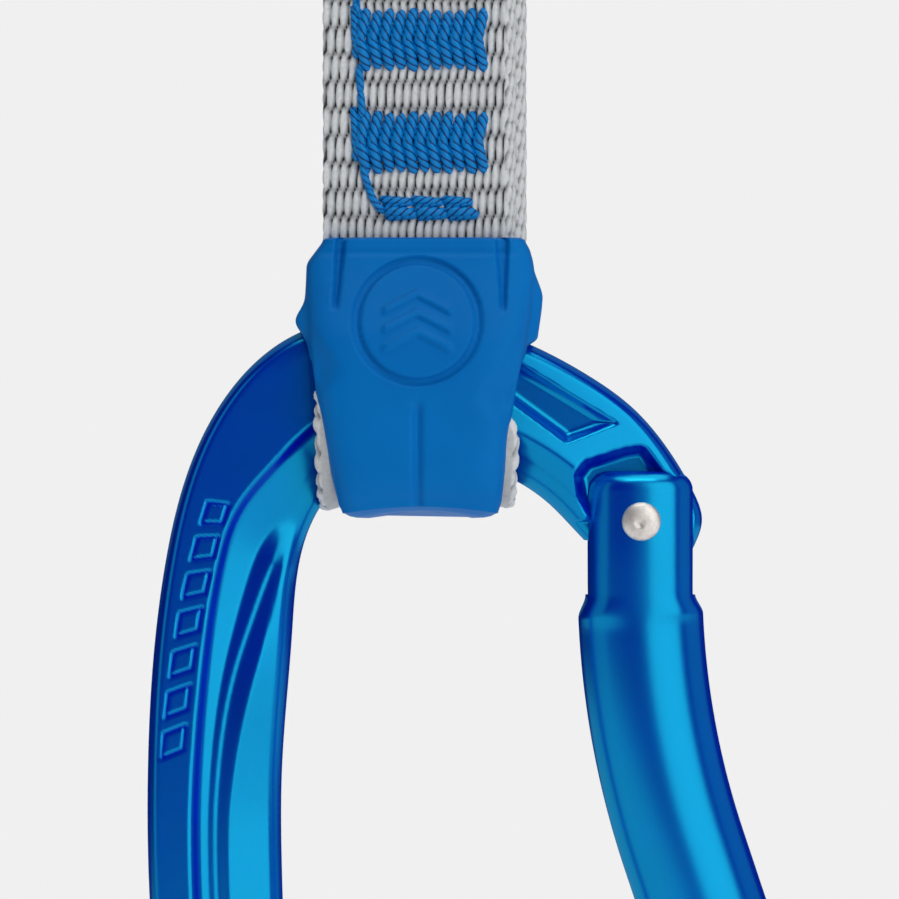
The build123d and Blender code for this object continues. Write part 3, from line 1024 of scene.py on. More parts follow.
@dataclass
class Rivet:
    """Hinge rivet with a domed head at each end and the off-centre mark of its setting punch."""

    seat: Seat
    shaft: float = 1.6
    head: float = 1.94
    seat_depth: float = 4.25
    rim: float = 5.02
    dome: float = 0.7

    def build(self) -> bpy.types.Object:
        """Makes the rivet as one closed shape turned about its axis.

        Returns:
            The new object.
        """
        rise = np.linspace(0, 1, 18)
        quarter = rise * math.pi / 2
        cap = [(self.head * math.cos(t) + 1e-4, self.rim + self.dome * math.sin(t)) for t in quarter]
        shank = [(self.shaft, 0.5), (self.shaft, self.seat_depth)]
        half = shank + [(self.head, self.seat_depth + 0.1), (self.head, self.rim - 0.05)] + cap
        profile = [(r, -y) for r, y in reversed(half)] + half
        turns = np.linspace(0, 2 * math.pi, 73)[:-1]
        rings = np.array([[(r * math.cos(t), y, r * math.sin(t)) for t in turns] for r, y in profile])
        off = np.hypot(rings[..., 0] + 0.17, rings[..., 2] + 0.26)
        mark = 0.3 * np.exp(-((off / 0.24) ** 2)) + 0.05 * np.exp(-((off / 0.6) ** 2))
        rings[..., 1] -= np.sign(rings[..., 1]) * mark * (np.abs(rings[..., 1]) > self.rim - 0.2)
        rings[..., 0] += PIVOT[0]
        rings[..., 2] += PIVOT[1]
        return tube_object(f"{self.seat.end.value}_rivet_skin", self.seat.place(rings))

    def add(self, wardrobe: Wardrobe) -> None:
        """Builds the rivet and puts it on the gate.

        Args:
            wardrobe: the finishes to dress with.
        """
        end = self.seat.end.value
        skin = self.build()
        face_outward(skin)
        wardrobe.dress(skin, RIVET_STEEL)
        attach(skin, f"{end}_gate")
        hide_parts(f"{end}_gate_rivet")
        LOG.info("%s: %d faces", skin.name, len(skin.data.polygons))


@dataclass
class Spring:
    """Return spring of a gate, a coil wound in the bore."""

    seat: Seat
    lean: float
    wire: float = 0.25
    radius: float = 1.75
    pitch: float = 1.45
    top: float = 13.5
    bottom: float = 25.8

    def along(self, down: np.ndarray, across: np.ndarray, depth: np.ndarray) -> np.ndarray:
        """Turns places in the straight bore into points in the frame.

        Args:
            down: distance below the rivet's axis.
            across: distance from the bore's centre, towards the outside of the gate.
            depth: distance from the bore's centre, front to back.

        Returns:
            Array of the same shape with x, y, z added as its last axis, in millimetres.
        """
        turn = math.radians(self.lean)
        side = PIVOT[0] + down * math.sin(turn) + across * math.cos(turn)
        height = PIVOT[1] - down * math.cos(turn) + across * math.sin(turn)
        return self.seat.place(np.stack([side, depth, height], axis=-1))

    def build(self) -> bpy.types.Object:
        """Winds the wire into an open coil.

        Returns:
            The new object.
        """
        length = self.bottom - self.top
        steps = int(24 * length / self.pitch)
        share = np.linspace(0, 1, steps)[:, None]
        turn = 2 * math.pi * share * length / self.pitch
        around = np.linspace(0, 2 * math.pi, 13)[:-1][None, :]
        reach = self.radius + self.wire * np.cos(around)
        down = self.top + share * length + self.wire * np.sin(around)
        rings = self.along(down, reach * np.cos(turn), reach * np.sin(turn))
        return tube_object(f"{self.seat.end.value}_spring_coil", rings)

    def add(self, wardrobe: Wardrobe) -> None:
        """Builds the spring, dresses it and fixes it in place.

        Args:
            wardrobe: the finishes to dress with.
        """
        end = self.seat.end.value
        coil = self.build()
        face_outward(coil)
        wardrobe.dress(coil, SPRING_STEEL)
        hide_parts(f"{end}_gate_spring")
        ends = self.along(np.array([self.top - self.wire, self.bottom]), np.zeros(2), np.zeros(2)) * MM
        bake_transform(coil)
        LOG.info("%s: %d faces", coil.name, len(coil.data.polygons))


# ------------------------------------------------------------------ webbing
def grain_noise(column: np.ndarray, row: np.ndarray, seed: float) -> np.ndarray:
    """A steady number from 0 to 1 for each grain of a weave."""
    wave = np.sin(column * 12.9898 + row * 78.233 + seed * 37.719) * 43758.5453
    return wave - np.floor(wave)


def weave(across: np.ndarray, along: np.ndarray, slant: float = 0.16) -> tuple[np.ndarray, np.ndarray]:
    """Height of an interlocking weave of long grains.

    Args:
        across: place across the webbing, in grain widths.
        along: place along the webbing, in rows.
        slant: how far a grain leans over one row.

    Returns:
        Height and lift, both from 0 in the gaps to 1 on a grain.
    """
    best = np.zeros(np.broadcast(across, along).shape)
    for step in (-1, 0, 1):
        row = np.round(along) + step
        shift = 0.5 * (np.mod(row, 2))
        column = np.round(across - shift) + shift
        far = along - row
        near = across - column - slant * far
        size = 0.84 + 0.16 * grain_noise(column, row, 1.0)
        lump = 1 - (np.abs(near) / 0.5) ** 2.0 - (np.abs(far) / 0.6) ** 2.2
        best = np.maximum(best, size * np.sqrt(np.clip(lump, 0, 1)))
    return best, best


SLING_HALF = 2.4


@dataclass
class Strap:
    """A run of woven webbing along a path in the plane across the bar."""

    name: str
    path: np.ndarray
    left: np.ndarray
    right: np.ndarray
    thickness: float
    lean: np.ndarray
    drop: Callable[[np.ndarray, np.ndarray], np.ndarray] | None = None
    pitch: float = 0.84
    row: float = 2.7
    grain_height: float = 0.5
    knots: float = 2.6
    knot_rate: float = 1.7
    knot_size: float = 0.5
    dents: tuple[tuple[float, float, float, float], ...] = ()
    cells_across: int = 5
    cells_along: int = 8

    def build(self) -> bpy.types.Object:
        """Makes the strap with its woven outer face, knotted edges and plain inner face.

        Returns:
            The new object.
        """
        length = np.concatenate([[0], np.cumsum(np.linalg.norm(np.diff(self.path, axis=0), axis=1))])
        where = np.arange(0, length[-1], self.row / self.cells_along)
        y, z = (np.interp(where, length, self.path[:, i]) for i in (0, 1))
        left, right, lean = (np.interp(where, length, line) for line in (self.left, self.right, self.lean))
        turn = np.gradient(np.stack([y, z], axis=1), axis=0)
        turn = blurred(turn / np.linalg.norm(turn, axis=1, keepdims=True), 3)
        normal = np.stack([-turn[:, 1], turn[:, 0]], axis=1)
        rows = (where / self.row)[:, None]
        face_cells = int(np.mean(right - left) / self.pitch * self.cells_across)
        u = np.linspace(0, 1, face_cells + 1)[None, :]
        middle = (left + right)[:, None] / 2
        half = (right - left)[:, None] / 2
        face_x = middle + half * (2 * u - 1)
        height, lift = weave((face_x - middle) / self.pitch, rows)
        border = smooth_step(0.0, 0.35, np.minimum(face_x - left[:, None], right[:, None] - face_x))
        pressed = np.zeros_like(face_x)
        for low_x, high_x, low_z, high_z in self.dents:
            leaning = face_x + lean[:, None] * y[:, None]
            in_x = np.minimum(leaning - low_x, high_x - leaning)
            in_z = np.minimum(z[:, None] - low_z, high_z - z[:, None])
            pressed = np.maximum(pressed, smooth_step(-0.9, 0.5, np.minimum(in_x, in_z)))
        top = self.thickness / 2 - self.grain_height * (1 - height) * border - 0.4 * pressed
        # the two edges, where the weft turns round and ties small knots
        turns = np.linspace(0, 1, 11)[None, 1:-1]
        knot, knot_lift = weave(turns * self.knots + 0.3, rows * self.knot_rate, 0.3)
        bulge = self.knot_size * np.sin(math.pi * turns) ** 0.7 * (0.1 + 0.9 * knot)
        edge_h = self.thickness / 2 * (1 - 2 * turns)
        inner_u = np.linspace(1, 0, 13)[None, :]
        inner_x = middle + half * (2 * inner_u - 1)
        blank = np.zeros_like(rows)
        x = np.concatenate([face_x, right[:, None] + bulge, inner_x, left[:, None] - bulge[:, ::-1]], axis=1)
        under = np.full_like(inner_x, -self.thickness / 2)
        h = np.concatenate([top, edge_h + blank, under, edge_h[:, ::-1] + blank], axis=1)
        # the lift attribute paints shade in the gaps between grains and between the edge knots, and paints
        # the plain inner face partly in shade
        knotty = 0.25 + 0.75 * knot_lift
        rise = np.concatenate([lift, knotty, np.full_like(inner_x, 0.6), knotty[:, ::-1]], axis=1)
        py = y[:, None] + normal[:, None, 0] * h
        pz = z[:, None] + normal[:, None, 1] * h
        x = x + lean[:, None] * np.clip(py, -SLING_HALF, SLING_HALF)
        if self.drop is not None:
            pz = pz + self.drop(x, pz)
        rings = np.stack([x, py, pz], axis=-1)
        return make_object(self.name, rings.reshape(-1, 3), tube_faces(*rings.shape[:2]), rise)


@dataclass
class Webbing:
    """The sling and the loop that it ends in, inside the keeper."""

    thickness: float = 2.4
    loop_radius: float = 10.6
    meet_z: float = -107.0

    def sling_path(self) -> np.ndarray:
        """Middle line of the sling: up the front, over the bolt end's bar and down the back.

        Returns:
            Points (y, z) at even distances, in millimetres.
        """
        start_z = ROPE_Z + 12.5
        side = self.thickness / 2
        # the tangent from the meeting place to the loop
        gap = SWING_Z - self.meet_z
        reach = math.hypot(side, gap)
        swing = math.acos(self.loop_radius / reach)
        base = math.atan2(-gap, -side)
        first = base - swing
        turns = np.linspace(first, first - (2 * math.pi - 2 * abs(-math.pi / 2 - first)), 90)
        loop = np.stack([np.cos(turns), np.sin(turns)], axis=1) * self.loop_radius + np.array([0, SWING_Z])
        up = np.stack([np.full(60, -side), np.linspace(start_z, self.meet_z, 60)], axis=1)
        path = np.concatenate([up, loop, up[::-1] * np.array([-1, 1])])
        length = np.concatenate([[0], np.cumsum(np.linalg.norm(np.diff(path, axis=0), axis=1))])
        even = np.arange(0, length[-1], 0.5)
        path = np.stack([np.interp(even, length, path[:, i]) for i in (0, 1)], axis=1)
        return blurred(path, 7)

    def sling(self) -> bpy.types.Object:
        """Makes the long run of webbing.

        Returns:
            The webbing.
        """
        path = self.sling_path()
        narrow = smooth_step(-97.5, -91.0, path[:, 1])
        middle = 0.4 * (1 - narrow)
        half = 9.0 - 0.6 * narrow
        dents = []
        for node in frame["nodes"]:
            if node.startswith(("stitch_bar", "stitch_end")):
                low, high = (np.array(corner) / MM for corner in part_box(node))
                shift = 0.25 if node.startswith("stitch_bar") else 0.9
                dents.append((low[0] + shift - 0.4, high[0] + shift - 0.2, low[2], high[2]))
        lean = 0.47 * (1 - narrow)
        strap = Strap("sling_weave", path, middle - half, middle + half, self.thickness - 0.1, lean)
        strap.dents = tuple(dents)
        return strap.build()

    def sag(self, x: np.ndarray, z: np.ndarray) -> np.ndarray:
        """How far the rope loop's edges hang below its middle."""
        return -1.3 * (x / 8.6) ** 2 * smooth_step(ROPE_Z - 3, ROPE_Z - 9, z)

    def rope_loop(self) -> bpy.types.Object:
        """Makes the short loop round the rope end's bar, whose edges show beside the keeper.

        Returns:
            The webbing.
        """
        half = np.array([
            (-2.0, 12.5), (-3.2, 10.5), (-6.0, 5.5), (-6.6, 2), (-6.6, -4.0), (-5.6, -7.6), (-3.2, -9.4),
            (0, -9.9),
        ])
        path = np.concatenate([half, half[-2::-1] * np.array([-1, 1])])
        spline = Curve([tuple(point) for point in path])
        path = spline.at(np.linspace(0, spline.at_knots[-1], 220))
        left_at = (-12, -10.9, -8.8, -4.4, -0.3, 1.5, 12)
        left = np.interp(path[:, 1], left_at, (-8.0, -9.0, -9.6, -9.9, -9.8, -8.9, -8.6))
        right_at = (-12, -10.9, -9, -7, -4.4, -2.8, 12)
        right = np.interp(path[:, 1], right_at, (7.8, 8.2, 8.8, 8.9, 9.2, 8.3, 8.3))
        path = path + np.array([0, ROPE_Z])
        strap = Strap("rope_loop_weave", path, left, right, 1.3, np.zeros(len(path)), self.sag)
        strap.knots, strap.knot_rate, strap.knot_size = 1.1, 1.9, 0.85
        return strap.build()

    def add(self, wardrobe: Wardrobe) -> None:
        """Builds both runs and dresses them, ties the loop to the rope end and fixes the sling in place.

        Args:
            wardrobe: the finishes to dress with.
        """
        sling = self.sling()
        face_outward(sling)
        wardrobe.dress(sling, WEB_FIBRE)
        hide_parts("sling_webbing")
        bend_at_flex(sling)
        loop = self.rope_loop()
        face_outward(loop)
        wardrobe.dress(loop, WEB_FIBRE)
        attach(loop, "rope_end")
        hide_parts("rope_loop_webbing")
        for piece in (sling, loop):
            LOG.info("%s: %d faces", piece.name, len(piece.data.polygons))


# ------------------------------------------------------------------ thread
def twisted(
    path: np.ndarray, radius: float, flat: float = 1.0, turn_length: float = 2.3, around: int = 18
) -> tuple[np.ndarray, np.ndarray]:
    """Two-ply thread along a path.

    Args:
        path: points in millimetres.
        radius: the thread's radius.
        flat: depth over width, for thread pressed onto the fabric.
        turn_length: length in which the plies make one turn.
        around: points round the thread.

    Returns:
        Rings and their lift, for join_tubes; the lift paints shade into the grooves between the plies.
    """
    ahead = np.gradient(path, axis=0)
    ahead /= np.linalg.norm(ahead, axis=1, keepdims=True)
    outward = np.array([0.0, 1.0, 0.0])
    side = np.cross(ahead, outward)
    side /= np.linalg.norm(side, axis=1, keepdims=True)
    up = np.cross(side, ahead)
    where = np.concatenate([[0], np.cumsum(np.linalg.norm(np.diff(path, axis=0), axis=1))])
    angle = np.linspace(0, 2 * math.pi, around + 1)[:-1][None, :]
    ply = np.abs(np.cos(1.5 * (angle - (2 * math.pi * where / turn_length)[:, None])))
    size = radius * (0.76 + 0.26 * ply**0.7)
    taper = np.ones(len(path))
    taper[[0, -1]] = 0.35
    taper[[1, -2]] = 0.62
    taper[[2, -3]] = 0.84
    size = size * taper[:, None]
    rings = path[:, None] + size[..., None] * (
        np.cos(angle)[..., None] * side[:, None] + flat * np.sin(angle)[..., None] * up[:, None])
    return rings, smooth_step(0.0, 0.8, ply)


@dataclass
class Stitching:
    """Bar tacks, end tacks and the running thread that joins them, on both faces of the sling."""

    face: float = 2.28

    def tack(
        self, name: str, z: float, width: float = 12.9, height: float = 6.0, stitches: int = 11
    ) -> bpy.types.Object:
        """Makes one bar tack of slanting satin stitches that cross, on both faces.

        Args:
            name: the object's name.
            z: the tack's middle.
            width: its width across the sling.
            height: its height along the sling.
            stitches: pairs of crossing stitches.

        Returns:
            The new object.
        """
        pitch = width / stitches
        share = np.linspace(0, 1, 36)
        tubes = []
        for side in (-1, 1):
            centre = 1.05 + 0.47 * self.face * side
            for i in range(stitches):
                x0 = centre - width / 2 + pitch * (i + 0.5)
                ragged = 0.9 * (grain_noise(np.array(i), np.array(z), 2.0) - 0.5)
                for rising in (1, -1):
                    tip = z + rising * (height / 2 + 0.45 * ragged)
                    root = z - rising * 0.3 * height
                    plunge = np.sin(math.pi * np.clip(share, 0.0, 1.0)) ** 0.45
                    above = 0.34 * np.exp(-(((share - 0.62) / 0.26) ** 2))
                    x = x0 + pitch * (0.95 * share - 0.5)
                    y = side * (self.face - 0.66 + 0.42 * plunge + above)
                    tubes.append(twisted(np.stack([x, y, root + (tip - root) * share], axis=1), 0.54))
            for shift in (0.0, 0.55):
                x = np.full_like(share, centre - width / 2 - 0.25 + shift) + 0.25 * share
                y = side * (self.face - 0.7 + 0.5 * np.sin(math.pi * share) ** 0.5)
                fall = z + height * (0.62 - 0.75 * share - 0.15 * shift)
                tubes.append(twisted(np.stack([x, y, fall], axis=1), 0.4))
        return join_tubes(name, tubes)

    def end_tack(self, name: str, z: float, width: float = 9.2) -> bpy.types.Object:
        """Makes an end tack: two rows of long running stitches, staggered, on both faces.

        Args:
            name: the name to give it.
            z: height of its middle, in millimetres.
            width: width in millimetres.

        Returns:
            The thread.
        """
        tubes = []
        share = np.linspace(0, 1, 26)
        step = width / 3
        for side in (-1, 1):
            centre = 1.9 + 0.47 * self.face * side
            for rise, shift, radius in ((0.72, -0.35, 0.42), (-0.45, 0.05, 0.58)):
                for i in range(3):
                    x0 = centre - width / 2 + step * i + shift
                    arch = np.sin(math.pi * share) ** 0.5
                    x = x0 + 1.06 * step * share
                    y = side * (self.face - 0.75 + 0.62 * arch)
                    tubes.append(twisted(np.stack([x, y, z + rise + 0.3 * (0.5 - share)], axis=1), radius))
                    low = np.stack([x + 0.2, y - side * 0.12, z + rise - 0.35 - 0.25 * (0.5 - share)], axis=1)
                    tubes.append(twisted(low, 0.8 * radius))
        return join_tubes(name, tubes)

    def line(self, name: str, points: Sequence[tuple[float, float]]) -> bpy.types.Object:
        """Makes a running thread on the front, dipping into the weave at each stitch.

        Args:
            name: the name to give it.
            points: (x, z) points that it passes through, in millimetres.

        Returns:
            The thread.
        """
        curve = Curve(points)
        where = np.linspace(0, curve.at_knots[-1], max(12, int(curve.at_knots[-1] / 0.2)))
        flat = curve.at(where)
        dip = np.abs(np.sin(math.pi * where / 2.7)) ** 0.5
        path = np.stack([flat[:, 0], -(self.face - 0.34 + 0.45 * dip), flat[:, 1]], axis=1)
        return join_tubes(name, [twisted(path, 0.4)])

    def add(self, wardrobe: Wardrobe) -> None:
        """Builds every piece of stitching and ties all but the middle line to the CAD bodies.

        Args:
            wardrobe: the finishes to dress with.
        """
        for number in range(1, 6):
            name = f"stitch_bar_{number}"
            low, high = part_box(name)
            tack = self.tack(f"{name}_thread", (low[2] + high[2]) / 2 / MM)
            self.finish(wardrobe, tack, "rope_end" if number == 1 else "sling", name)
        for place, body in (("lower", "rope_end"), ("upper", "sling")):
            name = f"stitch_end_{place}"
            low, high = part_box(name)
            self.finish(wardrobe, self.end_tack(f"{name}_thread", (low[2] + high[2]) / 2 / MM), body, name)
        corner = [(-5.9, -157.4), (-5.3, -159.6), (-4.5, -161.4), (-3.6, -162.4)]
        lower = self.line("stitch_line_lower_thread", corner)
        self.finish(wardrobe, lower, "rope_end", "stitch_line_lower")
        edge = [(-6.5, -109.0), (-6.3, -120), (-6.6, -132), (-6.4, -142.6)]
        upper = self.line("stitch_line_upper_thread", edge)
        self.finish(wardrobe, upper, "sling", "stitch_line_upper")
        across = self.line("stitch_line_middle_thread", [(-6.2, -147.6), (-6.0, -150.3), (-5.8, -153.0)])
        wardrobe.dress(across, THREAD_FIBRE)
        bend_at_flex(across)
        LOG.info("%s: %d faces", across.name, len(across.data.polygons))

    def finish(self, wardrobe: Wardrobe, piece: bpy.types.Object, body: str, node: str) -> None:
        """Dresses one piece of thread and puts it in place of its CAD node.

        Args:
            wardrobe: the finishes to dress with.
            piece: the thread.
            body: the body that it rides on.
            node: the CAD node that it replaces.
        """
        wardrobe.dress(piece, THREAD_FIBRE)
        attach(piece, body)
        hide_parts(node)
        LOG.info("%s: %d faces", piece.name, len(piece.data.polygons))


# ------------------------------------------------------------------ keeper
@dataclass
class Keeper:
    """Moulded rubber keeper that grips the webbing loop and holds the carabiner square to it."""

    around: int = 300
    levels: int = 190
    top: float = 14.9
    bottom: float = -12.4
    ring_centre: tuple[float, float] = (-0.34, 6.75)
    ring_radius: float = 6.05
    ring_line: float = 0.38
    ring_depth: float = 0.5

    def outline(self, z: np.ndarray) -> tuple[np.ndarray, np.ndarray, np.ndarray]:
        """Left edge, right edge and half depth at each height.

        Args:
            z: heights above the bar's centre.

        Returns:
            Left edge, right edge and half depth, one for each height.
        """
        left_at = (-12.4, -11.7, -8.4, -4, -0.2, 5.1, 9.8, 12.6, 15)
        left = np.interp(z, left_at, (-7.9, -8.3, -9.1, -9.94, -10.7, -11.3, -11.5, -11.4, -9.6))
        right_at = (-12.4, -11.3, -5, -0.2, 4.6, 8, 11.2, 12.8, 14.2, 15)
        right = np.interp(z, right_at, (7.85, 8.25, 8.9, 9.7, 10.65, 11.15, 11.4, 11.2, 10.8, 10.2))
        half = np.interp(z, (-12.4, -11, -8, 1, 5, 12.5, 15), (6.6, 8.0, 8.6, 9.1, 8.7, 5.3, 4.6))
        return blurred(left, 5), blurred(right, 5), blurred(half, 15)

    def relief(self, x: np.ndarray, z: np.ndarray) -> np.ndarray:
        """Height of the moulded detail on the front and the back.

        Args:
            x: place across the keeper.
            z: height above the bar.

        Returns:
            Height, negative where it is sunk.
        """
        out = np.zeros_like(x)
        cx, cz = self.ring_centre
        away = np.hypot(x - cx, z - cz)
        from_ring = np.abs(away - self.ring_radius)
        out -= self.ring_depth * smooth_step(self.ring_line + 0.14, self.ring_line - 0.12, from_ring)
        for step in (-1.9, 0.0, 1.9):
            arm = z - (cz + 0.9 + step) + 0.52 * np.abs(x - cx)
            stroke = smooth_step(0.52, 0.3, np.abs(arm)) * smooth_step(3.5, 3.2, np.abs(x - cx))
            out += 0.3 * stroke
        for middle_x, tip_x, tip_z, wide in ((-7.95, -8.45, 8.1, 0.24), (8.1, 8.15, 7.9, 0.4)):
            share = np.clip((z - tip_z) / (15 - tip_z), 0, 1)
            line = tip_x + (middle_x - tip_x) * share
            width = 0.16 + wide * share
            beside = smooth_step(width + 0.22, width - 0.1, np.abs(x - line))
            out -= 0.85 * beside * smooth_step(tip_z - 0.5, tip_z + 0.5, z)
        out -= 0.16 * smooth_step(0.55, 0.0, np.abs(z - 13.6))
        for (x0, z0), (x1, z1) in (((9.9, 6.2), (5.4, -0.4)), ((-10.9, 7.0), (-7.6, 2.2))):
            run = np.hypot(x1 - x0, z1 - z0)
            nx, nz = (z1 - z0) / run, -(x1 - x0) / run
            if nz > 0:
                nx, nz = -nx, -nz
            over = (x - x0) * nx + (z - z0) * nz
            length_share = ((x - x0) * (x1 - x0) + (z - z0) * (z1 - z0)) / run**2
            out -= 0.4 * np.clip(over, 0, 2.4) * smooth_step(1.2, 0.8, length_share)
        seam = np.abs(x + 0.3)
        out -= 0.5 * smooth_step(0.75, 0.0, seam) * smooth_step(-0.6, -2.4, z)
        return out

    def build(self) -> bpy.types.Object:
        """Makes the keeper as one closed skin, with a mouth for the sling at the top.

        Returns:
            The new object.
        """
        z = np.linspace(self.bottom, self.top, self.levels)
        left, right, half = self.outline(z)
        turns = np.linspace(0, 2 * math.pi, 2401)[:-1]
        squareness = 7.0
        power = 2 / squareness
        c = np.sign(np.cos(turns)) * np.abs(np.cos(turns)) ** power
        s = np.sign(np.sin(turns)) * np.abs(np.sin(turns)) ** power
        rings = []
        for x0, x1, depth in zip(left, right, half):
            ring = np.stack([(x0 + x1) / 2 + (x1 - x0) / 2 * c, depth * s], axis=1)
            closed = np.vstack([ring, ring[:1]])
            steps = np.linalg.norm(np.diff(closed, axis=0), axis=1)
            length = np.concatenate([[0], np.cumsum(steps)])
            even = np.linspace(0, length[-1], self.around + 1)[:-1]
            rings.append(np.stack([np.interp(even, length, closed[:, i]) for i in (0, 1)], axis=1))
        flat = np.array(rings)
        x, y = flat[..., 0], flat[..., 1]
        zz = np.broadcast_to(z[:, None], x.shape).copy()
        facing = smooth_step(0.80, 0.97, np.abs(y) / half[:, None])
        y = y + np.sign(y) * facing * self.relief(x, zz)
        # open sides below, where the bar and the webbing's edges come out
        deep = np.abs(y) / half[:, None]
        side = smooth_step(0.78, 0.66, deep) * smooth_step(3.5, 0.0, zz)
        middle = (left + right)[:, None] / 2
        x = middle + (x - middle) * (1 - 0.2 * side)
        left_wing = np.exp(-(((zz - 6.8) / 1.5) ** 2)) * 1.1
        right_wing = smooth_step(4.2, 5.2, zz) * smooth_step(12.0, 9.0, zz) * 0.9
        wing = np.where(x < middle, left_wing, right_wing)
        outward = smooth_step(0.5, 0.95, np.abs(x - middle) / ((right - left)[:, None] / 2))
        x = x + np.sign(x - middle) * wing * smooth_step(0.72, 0.6, deep) * outward
        sag = smooth_step(-6.5, -12.4, zz)
        zz = zz + sag * 0.8 * (1 - (x / 8.4) ** 2)
        body = np.stack([x, y, zz], axis=-1)
        over, under = [], []
        lip = ((0.1, 0.06), (0.3, 0.18), (0.6, 0.24), (1.2, 0.22), (1.45, 0.05), (1.5, -0.3), (1.5, -3.0))
        for inset, rise in lip:
            over.append(self.inset(body[-1], inset, rise))
        for inset, rise in ((0.25, -0.05), (0.7, -0.3), (1.4, -0.45), (2.6, -0.5)):
            under.insert(0, self.inset(body[0], inset, rise))
        rings = np.concatenate([np.array(under), body, np.array(over)])
        rings[..., 2] += ROPE_Z
        return tube_object("keeper_skin", rings)

    def inset(self, ring: np.ndarray, inset: float, rise: float) -> np.ndarray:
        """A copy of a ring drawn in by a distance and moved up.

        Args:
            ring: the ring to copy.
            inset: how far to draw it in.
            rise: how far to move it up.

        Returns:
            The new ring.
        """
        out = ring.copy()
        for axis in (0, 1):
            low, high = ring[:, axis].min(), ring[:, axis].max()
            middle, reach = (low + high) / 2, (high - low) / 2
            out[:, axis] = middle + (ring[:, axis] - middle) * (1 - inset / reach)
        out[:, 2] += rise
        return out

    def add(self, wardrobe: Wardrobe) -> None:
        """Builds the keeper, dresses it and puts it on the rope end.

        Args:
            wardrobe: the finishes to dress with.
        """
        skin = self.build()
        face_outward(skin)
        wardrobe.dress(skin, KEEPER_RUBBER)
        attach(skin, "rope_end")
        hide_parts("keeper")
        LOG.info("%s: %d faces", skin.name, len(skin.data.polygons))


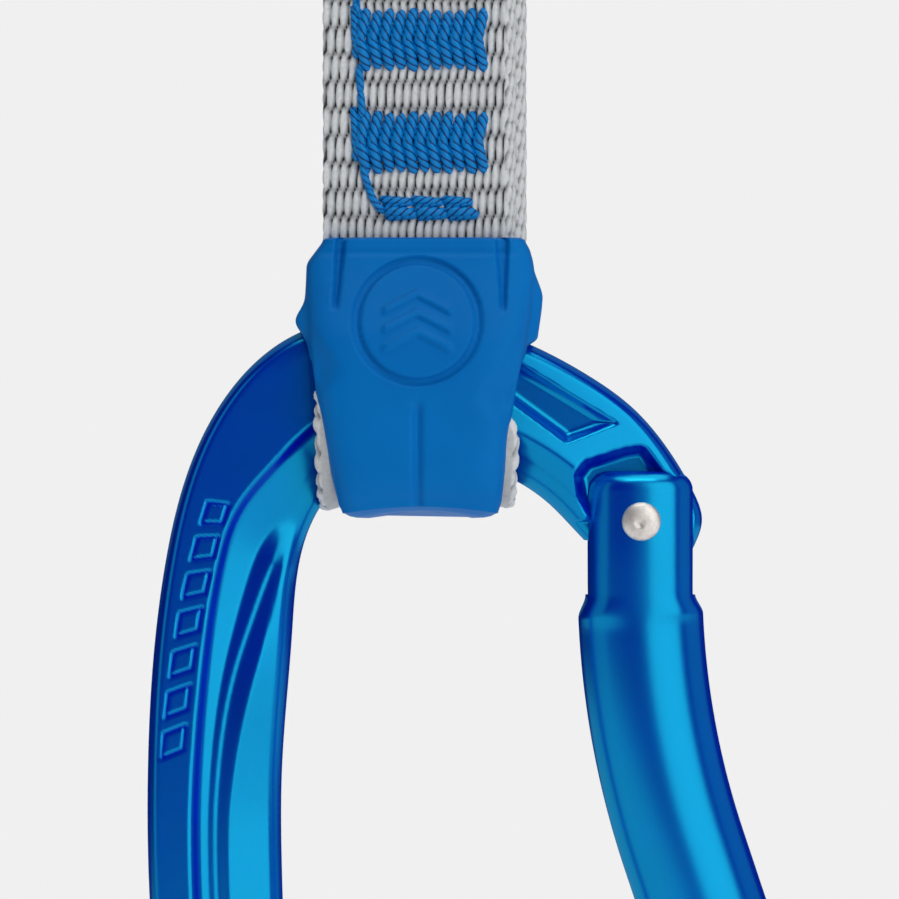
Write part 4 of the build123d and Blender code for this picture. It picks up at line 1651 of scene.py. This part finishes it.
# ------------------------------------------------------------------ studio
@dataclass
class Studio:
    """Pale floor and world, softboxes with dark gaps between them, and the camera."""

    centre: tuple[float, float, float] = (0.00285, 0.0, -0.18595)
    view_width: float = 0.0899
    lens: float = 280.0
    sensor: float = 36.0
    paper: float = 0.871
    floor_half: float = 0.55
    floor_drop: float = 25.0
    floor_glow: float = 0.72

    def world(self) -> None:
        """Makes the paper-white background, dimmer where it only lights the object."""
        world = bpy.data.worlds.new("studio")
        world.use_nodes = True
        tree = world.node_tree
        tree.nodes.clear()
        seen = tree.nodes.new("ShaderNodeBackground")
        seen.inputs["Color"].default_value = (self.paper, self.paper, self.paper, 1)
        lit = tree.nodes.new("ShaderNodeBackground")
        lit.inputs["Color"].default_value = (0.02, 0.021, 0.023, 1)
        path = tree.nodes.new("ShaderNodeLightPath")
        mix = tree.nodes.new("ShaderNodeMixShader")
        out = tree.nodes.new("ShaderNodeOutputWorld")
        tree.links.new(path.outputs["Is Camera Ray"], mix.inputs["Fac"])
        tree.links.new(lit.outputs["Background"], mix.inputs[1])
        tree.links.new(seen.outputs["Background"], mix.inputs[2])
        tree.links.new(mix.outputs["Shader"], out.inputs["Surface"])
        bpy.context.scene.world = world

    def softbox(
        self, name: str, azimuth: float, height: float, size: tuple[float, float], power: float,
        far: float = 0.6,
    ) -> None:
        """Adds one softbox.

        Args:
            name: the light's name.
            azimuth: degrees from the camera's side, positive towards +X.
            height: degrees above the object.
            size: width and height in metres.
            power: watts.
            far: distance in metres.
        """
        light = bpy.data.lights.new(name, "AREA")
        light.shape = "RECTANGLE"
        light.size, light.size_y = size
        light.energy = power
        obj = bpy.data.objects.new(name, light)
        a, e = math.radians(azimuth), math.radians(height)
        aim = Vector((math.sin(a) * math.cos(e), -math.cos(a) * math.cos(e), math.sin(e)))
        obj.location = Vector(self.centre) + aim * far
        obj.rotation_mode = "QUATERNION"
        obj.rotation_quaternion = (-aim).to_track_quat("-Z", "Y")
        bpy.context.scene.collection.objects.link(obj)

    def build(self) -> None:
        """Sets up the whole studio."""
        self.world()
        self.softbox("window_right", 34, 8, (0.58, 0.9), 2.6)
        self.softbox("card_right", 98, 6, (0.5, 0.9), 0.42)
        self.softbox("card_left", -76, 6, (0.5, 0.9), 0.6)
        self.softbox("front_high", 4, 60, (0.3, 0.14), 0.45)
        self.softbox("overhead", 10, 84, (0.8, 0.6), 2.6, 0.8)
        self.softbox("behind", 180, 25, (1.0, 0.8), 0.7, 0.9)
        size = self.floor_half
        floor_z = (CAD_BOX[0][2] / MM - self.floor_drop) * MM
        mesh = bpy.data.meshes.new("floor")
        corners = [(x * size, y * size, floor_z) for x, y in ((-1, -1), (1, -1), (1, 1), (-1, 1))]
        mesh.from_pydata(corners, [], [(0, 1, 2, 3)])
        floor = bpy.data.objects.new("floor", mesh)
        bpy.context.scene.collection.objects.link(floor)
        nodes = Nodes("floor_paper")
        nodes.shader.inputs["Base Color"].default_value = (0.3, 0.3, 0.3, 1)
        nodes.shader.inputs["Emission Color"].default_value = (self.paper, self.paper, self.paper, 1)
        nodes.shader.inputs["Emission Strength"].default_value = self.floor_glow
        nodes.shader.inputs["Roughness"].default_value = 0.9
        nodes.bump(nodes.noise(400, 3), 0.0001, 0.3)
        mesh.materials.append(nodes.material)
        camera = bpy.data.cameras.new("camera")
        camera.lens, camera.sensor_width = self.lens, self.sensor
        obj = bpy.data.objects.new("camera", camera)
        distance = self.view_width * self.lens / self.sensor
        obj.location = Vector(self.centre) - Vector((0, distance, 0))
        obj.rotation_euler = (math.pi / 2, 0, 0)
        bpy.context.scene.collection.objects.link(obj)
        scene = bpy.context.scene
        scene.camera = obj
        scene.view_settings.view_transform = "Standard"
        scene.view_settings.look = "None"


def main() -> None:
    """Builds the quickdraw's looks and its studio."""
    logging.basicConfig(level=logging.INFO, format="%(message)s")
    wardrobe = Wardrobe()
    for end, finish, lean, bent in ((End.ROPE, ROPE_BLUE, 0.0, True), (End.BOLT, BOLT_GREY, 10.87, False)):
        seat = Seat(end)
        CarabinerBody(seat, finish).add(wardrobe)
        Gate(seat, finish, lean, bent).add(wardrobe)
        Rivet(seat).add(wardrobe)
        Spring(seat, lean).add(wardrobe)
    Webbing().add(wardrobe)
    Stitching().add(wardrobe)
    Keeper().add(wardrobe)
    Studio().build()


if __name__ == "__main__":
    main()
